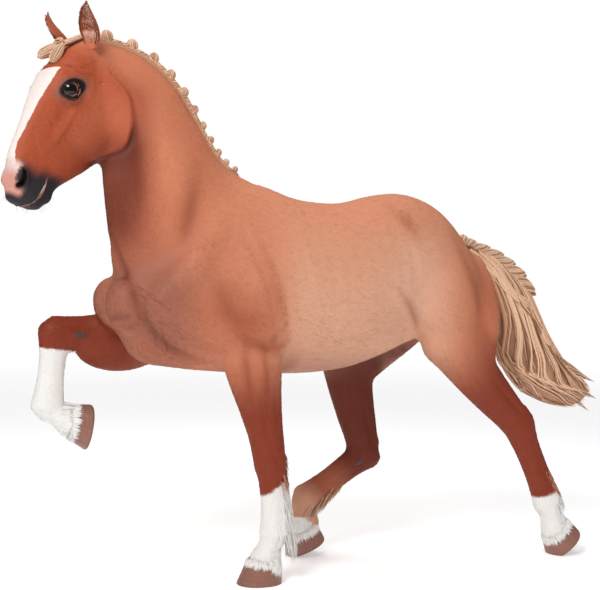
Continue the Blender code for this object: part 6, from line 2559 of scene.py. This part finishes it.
def short_coat(skin, triangles, rng):
    """Flat tufts all over the skin, smallest on the face and feet."""
    made = []
    for name, count, length, width, lift in COAT_PIECES:
        weight = coat_weights(skin, name)
        roots, normals, cavity = scatter(skin, triangles, weight, count, rng)
        lay = lay_of(roots, normals)
        colours = hide_colour(roots, cavity) * rng.uniform(0.96, 1.04, (count, 1))
        here = length * rng.uniform(0.7, 1.25, count)
        made.append(fine_tufts(name, roots, normals, lay, here, width * rng.uniform(0.7, 1.2, count), colours,
                               lift * rng.uniform(0.4, 1.5, count)))
    return made


# ---------------------------------------------------------------- floor, lights and camera
CAMERA_TURN = math.radians(25.0)  # of the camera, from square on to the horse's left side towards its head
CAMERA_DISTANCE = 5.0
CAMERA_HEIGHT = 1.30
CAMERA_LENS = 74.76
CAMERA_YAW = math.radians(-1.1)
CAMERA_PITCH = math.radians(-2.4)
CAMERA_ROLL = math.radians(0.8)
SURROUND_LIGHT = 0.44  # of the surround on the horse; seen directly, the surround is white
SURROUND_MIRRORED = 0.35  # how much of that light glossy surfaces mirror


def make_camera():
    camera = bpy.data.objects.new("camera", bpy.data.cameras.new("camera"))
    bpy.context.scene.collection.objects.link(camera)
    camera.data.sensor_width = 36
    camera.data.lens = CAMERA_LENS
    turn = CAMERA_TURN + CAMERA_YAW
    look = Vector((-math.cos(turn) * math.cos(CAMERA_PITCH), math.sin(turn) * math.cos(CAMERA_PITCH),
                   math.sin(CAMERA_PITCH)))
    right = look.cross(Vector((0, 0, 1))).normalized()
    above = right.cross(look)
    rolled = right * math.cos(CAMERA_ROLL) + above * math.sin(CAMERA_ROLL)
    above = above * math.cos(CAMERA_ROLL) - right * math.sin(CAMERA_ROLL)
    turned = Matrix((rolled, above, -look)).transposed().to_4x4()
    place = at(CAMERA_DISTANCE * math.sin(CAMERA_TURN), CAMERA_DISTANCE * math.cos(CAMERA_TURN),
               CAMERA_HEIGHT)
    camera.matrix_world = Matrix.Translation(place) @ turned
    bpy.context.scene.camera = camera


def area_light(name, place, target, size, power, colour=(1, 1, 1)):
    light = bpy.data.objects.new(name, bpy.data.lights.new(name, "AREA"))
    bpy.context.scene.collection.objects.link(light)
    light.data.shape = "DISK"
    light.data.size = size
    light.data.energy = power
    light.data.color = colour
    light.visible_glossy = name == "key"
    light.location = place
    light.rotation_mode = "QUATERNION"
    light.rotation_quaternion = (Vector(place) - Vector(target)).to_track_quat("Z", "Y")


FLOOR_REACH = 9.0
FLOOR_SOLID = 2.6  # from here the floor fades into the surround, out to its reach


def pale_floor():
    """A round pale floor that fades into the surround, so that no horizon shows."""
    around = 96
    turn = turns(around)
    rim = np.stack([FLOOR_REACH * np.cos(turn), FLOOR_REACH * np.sin(turn), np.zeros(around)], 1)
    floor = mesh_from("floor", rim, [np.arange(around)[None]])
    made, shader, tree = principled("floor_pale", 0.9, Specular_IOR_Level=0.1, Emission_Strength=0.30)
    shader.inputs["Base Color"].default_value = (0.93, 0.93, 0.93, 1)
    shader.inputs["Emission Color"].default_value = (1, 1, 1, 1)
    coordinates = added(tree, "ShaderNodeTexCoord")
    length = added(tree, "ShaderNodeVectorMath", operation="LENGTH")
    tree.links.new(coordinates.outputs["Object"], length.inputs[0])
    fade = mapped(tree, length.outputs["Value"], (FLOOR_SOLID, FLOOR_REACH), (1.0, 0.0),
                  interpolation_type="SMOOTHSTEP")
    tree.links.new(fade, shader.inputs["Alpha"])
    floor.data.materials.append(made)


def make_stage():
    """A pale floor, a pale surround that looks white behind the horse, and soft light."""
    pale_floor()
    world = bpy.data.worlds.new("surround")
    world.use_nodes = True
    tree = world.node_tree
    background = tree.nodes["Background"]
    background.inputs["Color"].default_value = (1, 1, 1, 1)
    seen = added(tree, "ShaderNodeLightPath")
    strength = mapped(tree, seen.outputs["Is Camera Ray"], (0.0, 1.0), (SURROUND_LIGHT, 1.0))
    mirrored = mapped(tree, seen.outputs["Is Glossy Ray"], (0.0, 1.0), (1.0, SURROUND_MIRRORED))
    both = added(tree, "ShaderNodeMath", operation="MULTIPLY")
    tree.links.new(strength, both.inputs[0])
    tree.links.new(mirrored, both.inputs[1])
    tree.links.new(both.outputs["Value"], background.inputs["Strength"])
    bpy.context.scene.world = world
    bpy.context.scene.view_settings.view_transform = "Standard"
    area_light("key", (3.0, -3.4, 5.0), (0, -0.2, 1.1), 2.4, 215)
    area_light("side", (4.6, 2.6, 2.4), (0, 0.2, 1.0), 3.0, 40)
    area_light("top", (-1.5, 0.6, 5.0), (0, 0, 1.2), 3.0, 80)


EVEN = (1.0, 1.0, 1.0)
MATERIALS = (
    # name, roughness, how its noise is drawn out, scale of the noise, contrast, bump, its depth, specular
    ("coat_short", 0.62, (1.0, 0.35, 0.7), 260.0, 0.05, 0.20, 0.002, 0.3),
    ("coat_tufts", 0.62, (1.0, 0.35, 0.7), 200.0, 0.04, 0.0, 0.001, 0.3),
    ("hair_flaxen", 0.50, EVEN, 300.0, 0.14, 0.3, 0.001, 0.3),
    ("hair_white", 0.55, (1.0, 1.0, 0.4), 300.0, 0.05, 0.2, 0.001, 0.3),
    ("hoof_horn", 0.38, (1.0, 1.0, 0.15), 180.0, 0.12, 0.35, 0.0015, 0.3),
    ("eye_gloss", 0.04, EVEN, 500.0, 0.10, 0.0, 0.001, 0.5),
    ("lid_skin", 0.22, EVEN, 500.0, 0.10, 0.3, 0.0006, 0.5),
    ("tooth", 0.25, EVEN, 120.0, 0.06, 0.1, 0.0005, 0.3),
    ("callous", 0.75, EVEN, 420.0, 0.30, 0.7, 0.002, 0.3),
)


def tree_of(obj):
    """The piece's surface, for rays to meet."""
    return bvhtree.BVHTree.FromPolygons([tuple(v.co) for v in obj.data.vertices],
                                        [tuple(p.vertices) for p in obj.data.polygons])


def main():
    make_camera()
    make_stage()
    rng = np.random.default_rng(SEED)
    body, skin = make_skin()
    # the skin's colours, with painted shade inside the nostrils
    paint(body, mix(hide_colour(skin.plain, skin.cavity), NOSTRIL_SHADE, skin.dark))
    coat, tufts, flaxen, white, horn, gloss, wet, tooth, rough = (hair_material(*row) for row in MATERIALS)
    piece(body, "coat", coat, "head", "neck", "trunk", "leg_fore_left", "leg_fore_right", "leg_hind_left",
          "leg_hind_right", "ear_left", "ear_right")
    tree = tree_of(body)
    triangles = triangles_of(body.data)
    for side in (1, -1):
        eye = Eye(side)
        piece(eyeball(eye), "eye_gloss", gloss, "eye_" + eye.label)
        rim = tube("lid_rim_" + eye.label, rim_points(eye, LID - 0.0020), 0.0024, EYE_SKIN, closed=True)
        piece(rim, "bare_skin", wet)
        piece(lashes(eye, rng), "coat", tufts)
        piece(ear_hair(side, rng), "coat", tufts)
    piece(teeth(), "tooth", tooth)
    piece(whiskers(skin, triangles, rng), "coat", tufts)
    for name, leg in LEGS.items():
        hoof = hoof_piece(name, leg)
        piece(hoof, "hoof_horn", horn, "hoof_" + name)
        piece(feather_hair(name, leg, tree, tree_of(hoof), rng), "white_hair", white)
    piece(knee_tufts(tree, rng), "coat", tufts)
    for growth in callosities(tree, rng):
        piece(growth, "bare_skin", rough)
    crest = merged(crest_hair(rng), crest_core())
    piece(crest, "flaxen_hair", flaxen, "mane_crest")
    for i, plaited in enumerate(mane_buttons(rng)):
        piece(plaited, "flaxen_hair", flaxen, "mane_plait_%02d" % (i + 1))
    piece(forelock_hair(rng), "flaxen_hair", flaxen, "forelock")
    piece(tail_hair(rng), "flaxen_hair", flaxen, "tail")
    for tufted in short_coat(skin, triangles, rng):
        piece(tufted, "coat", tufts)


main()
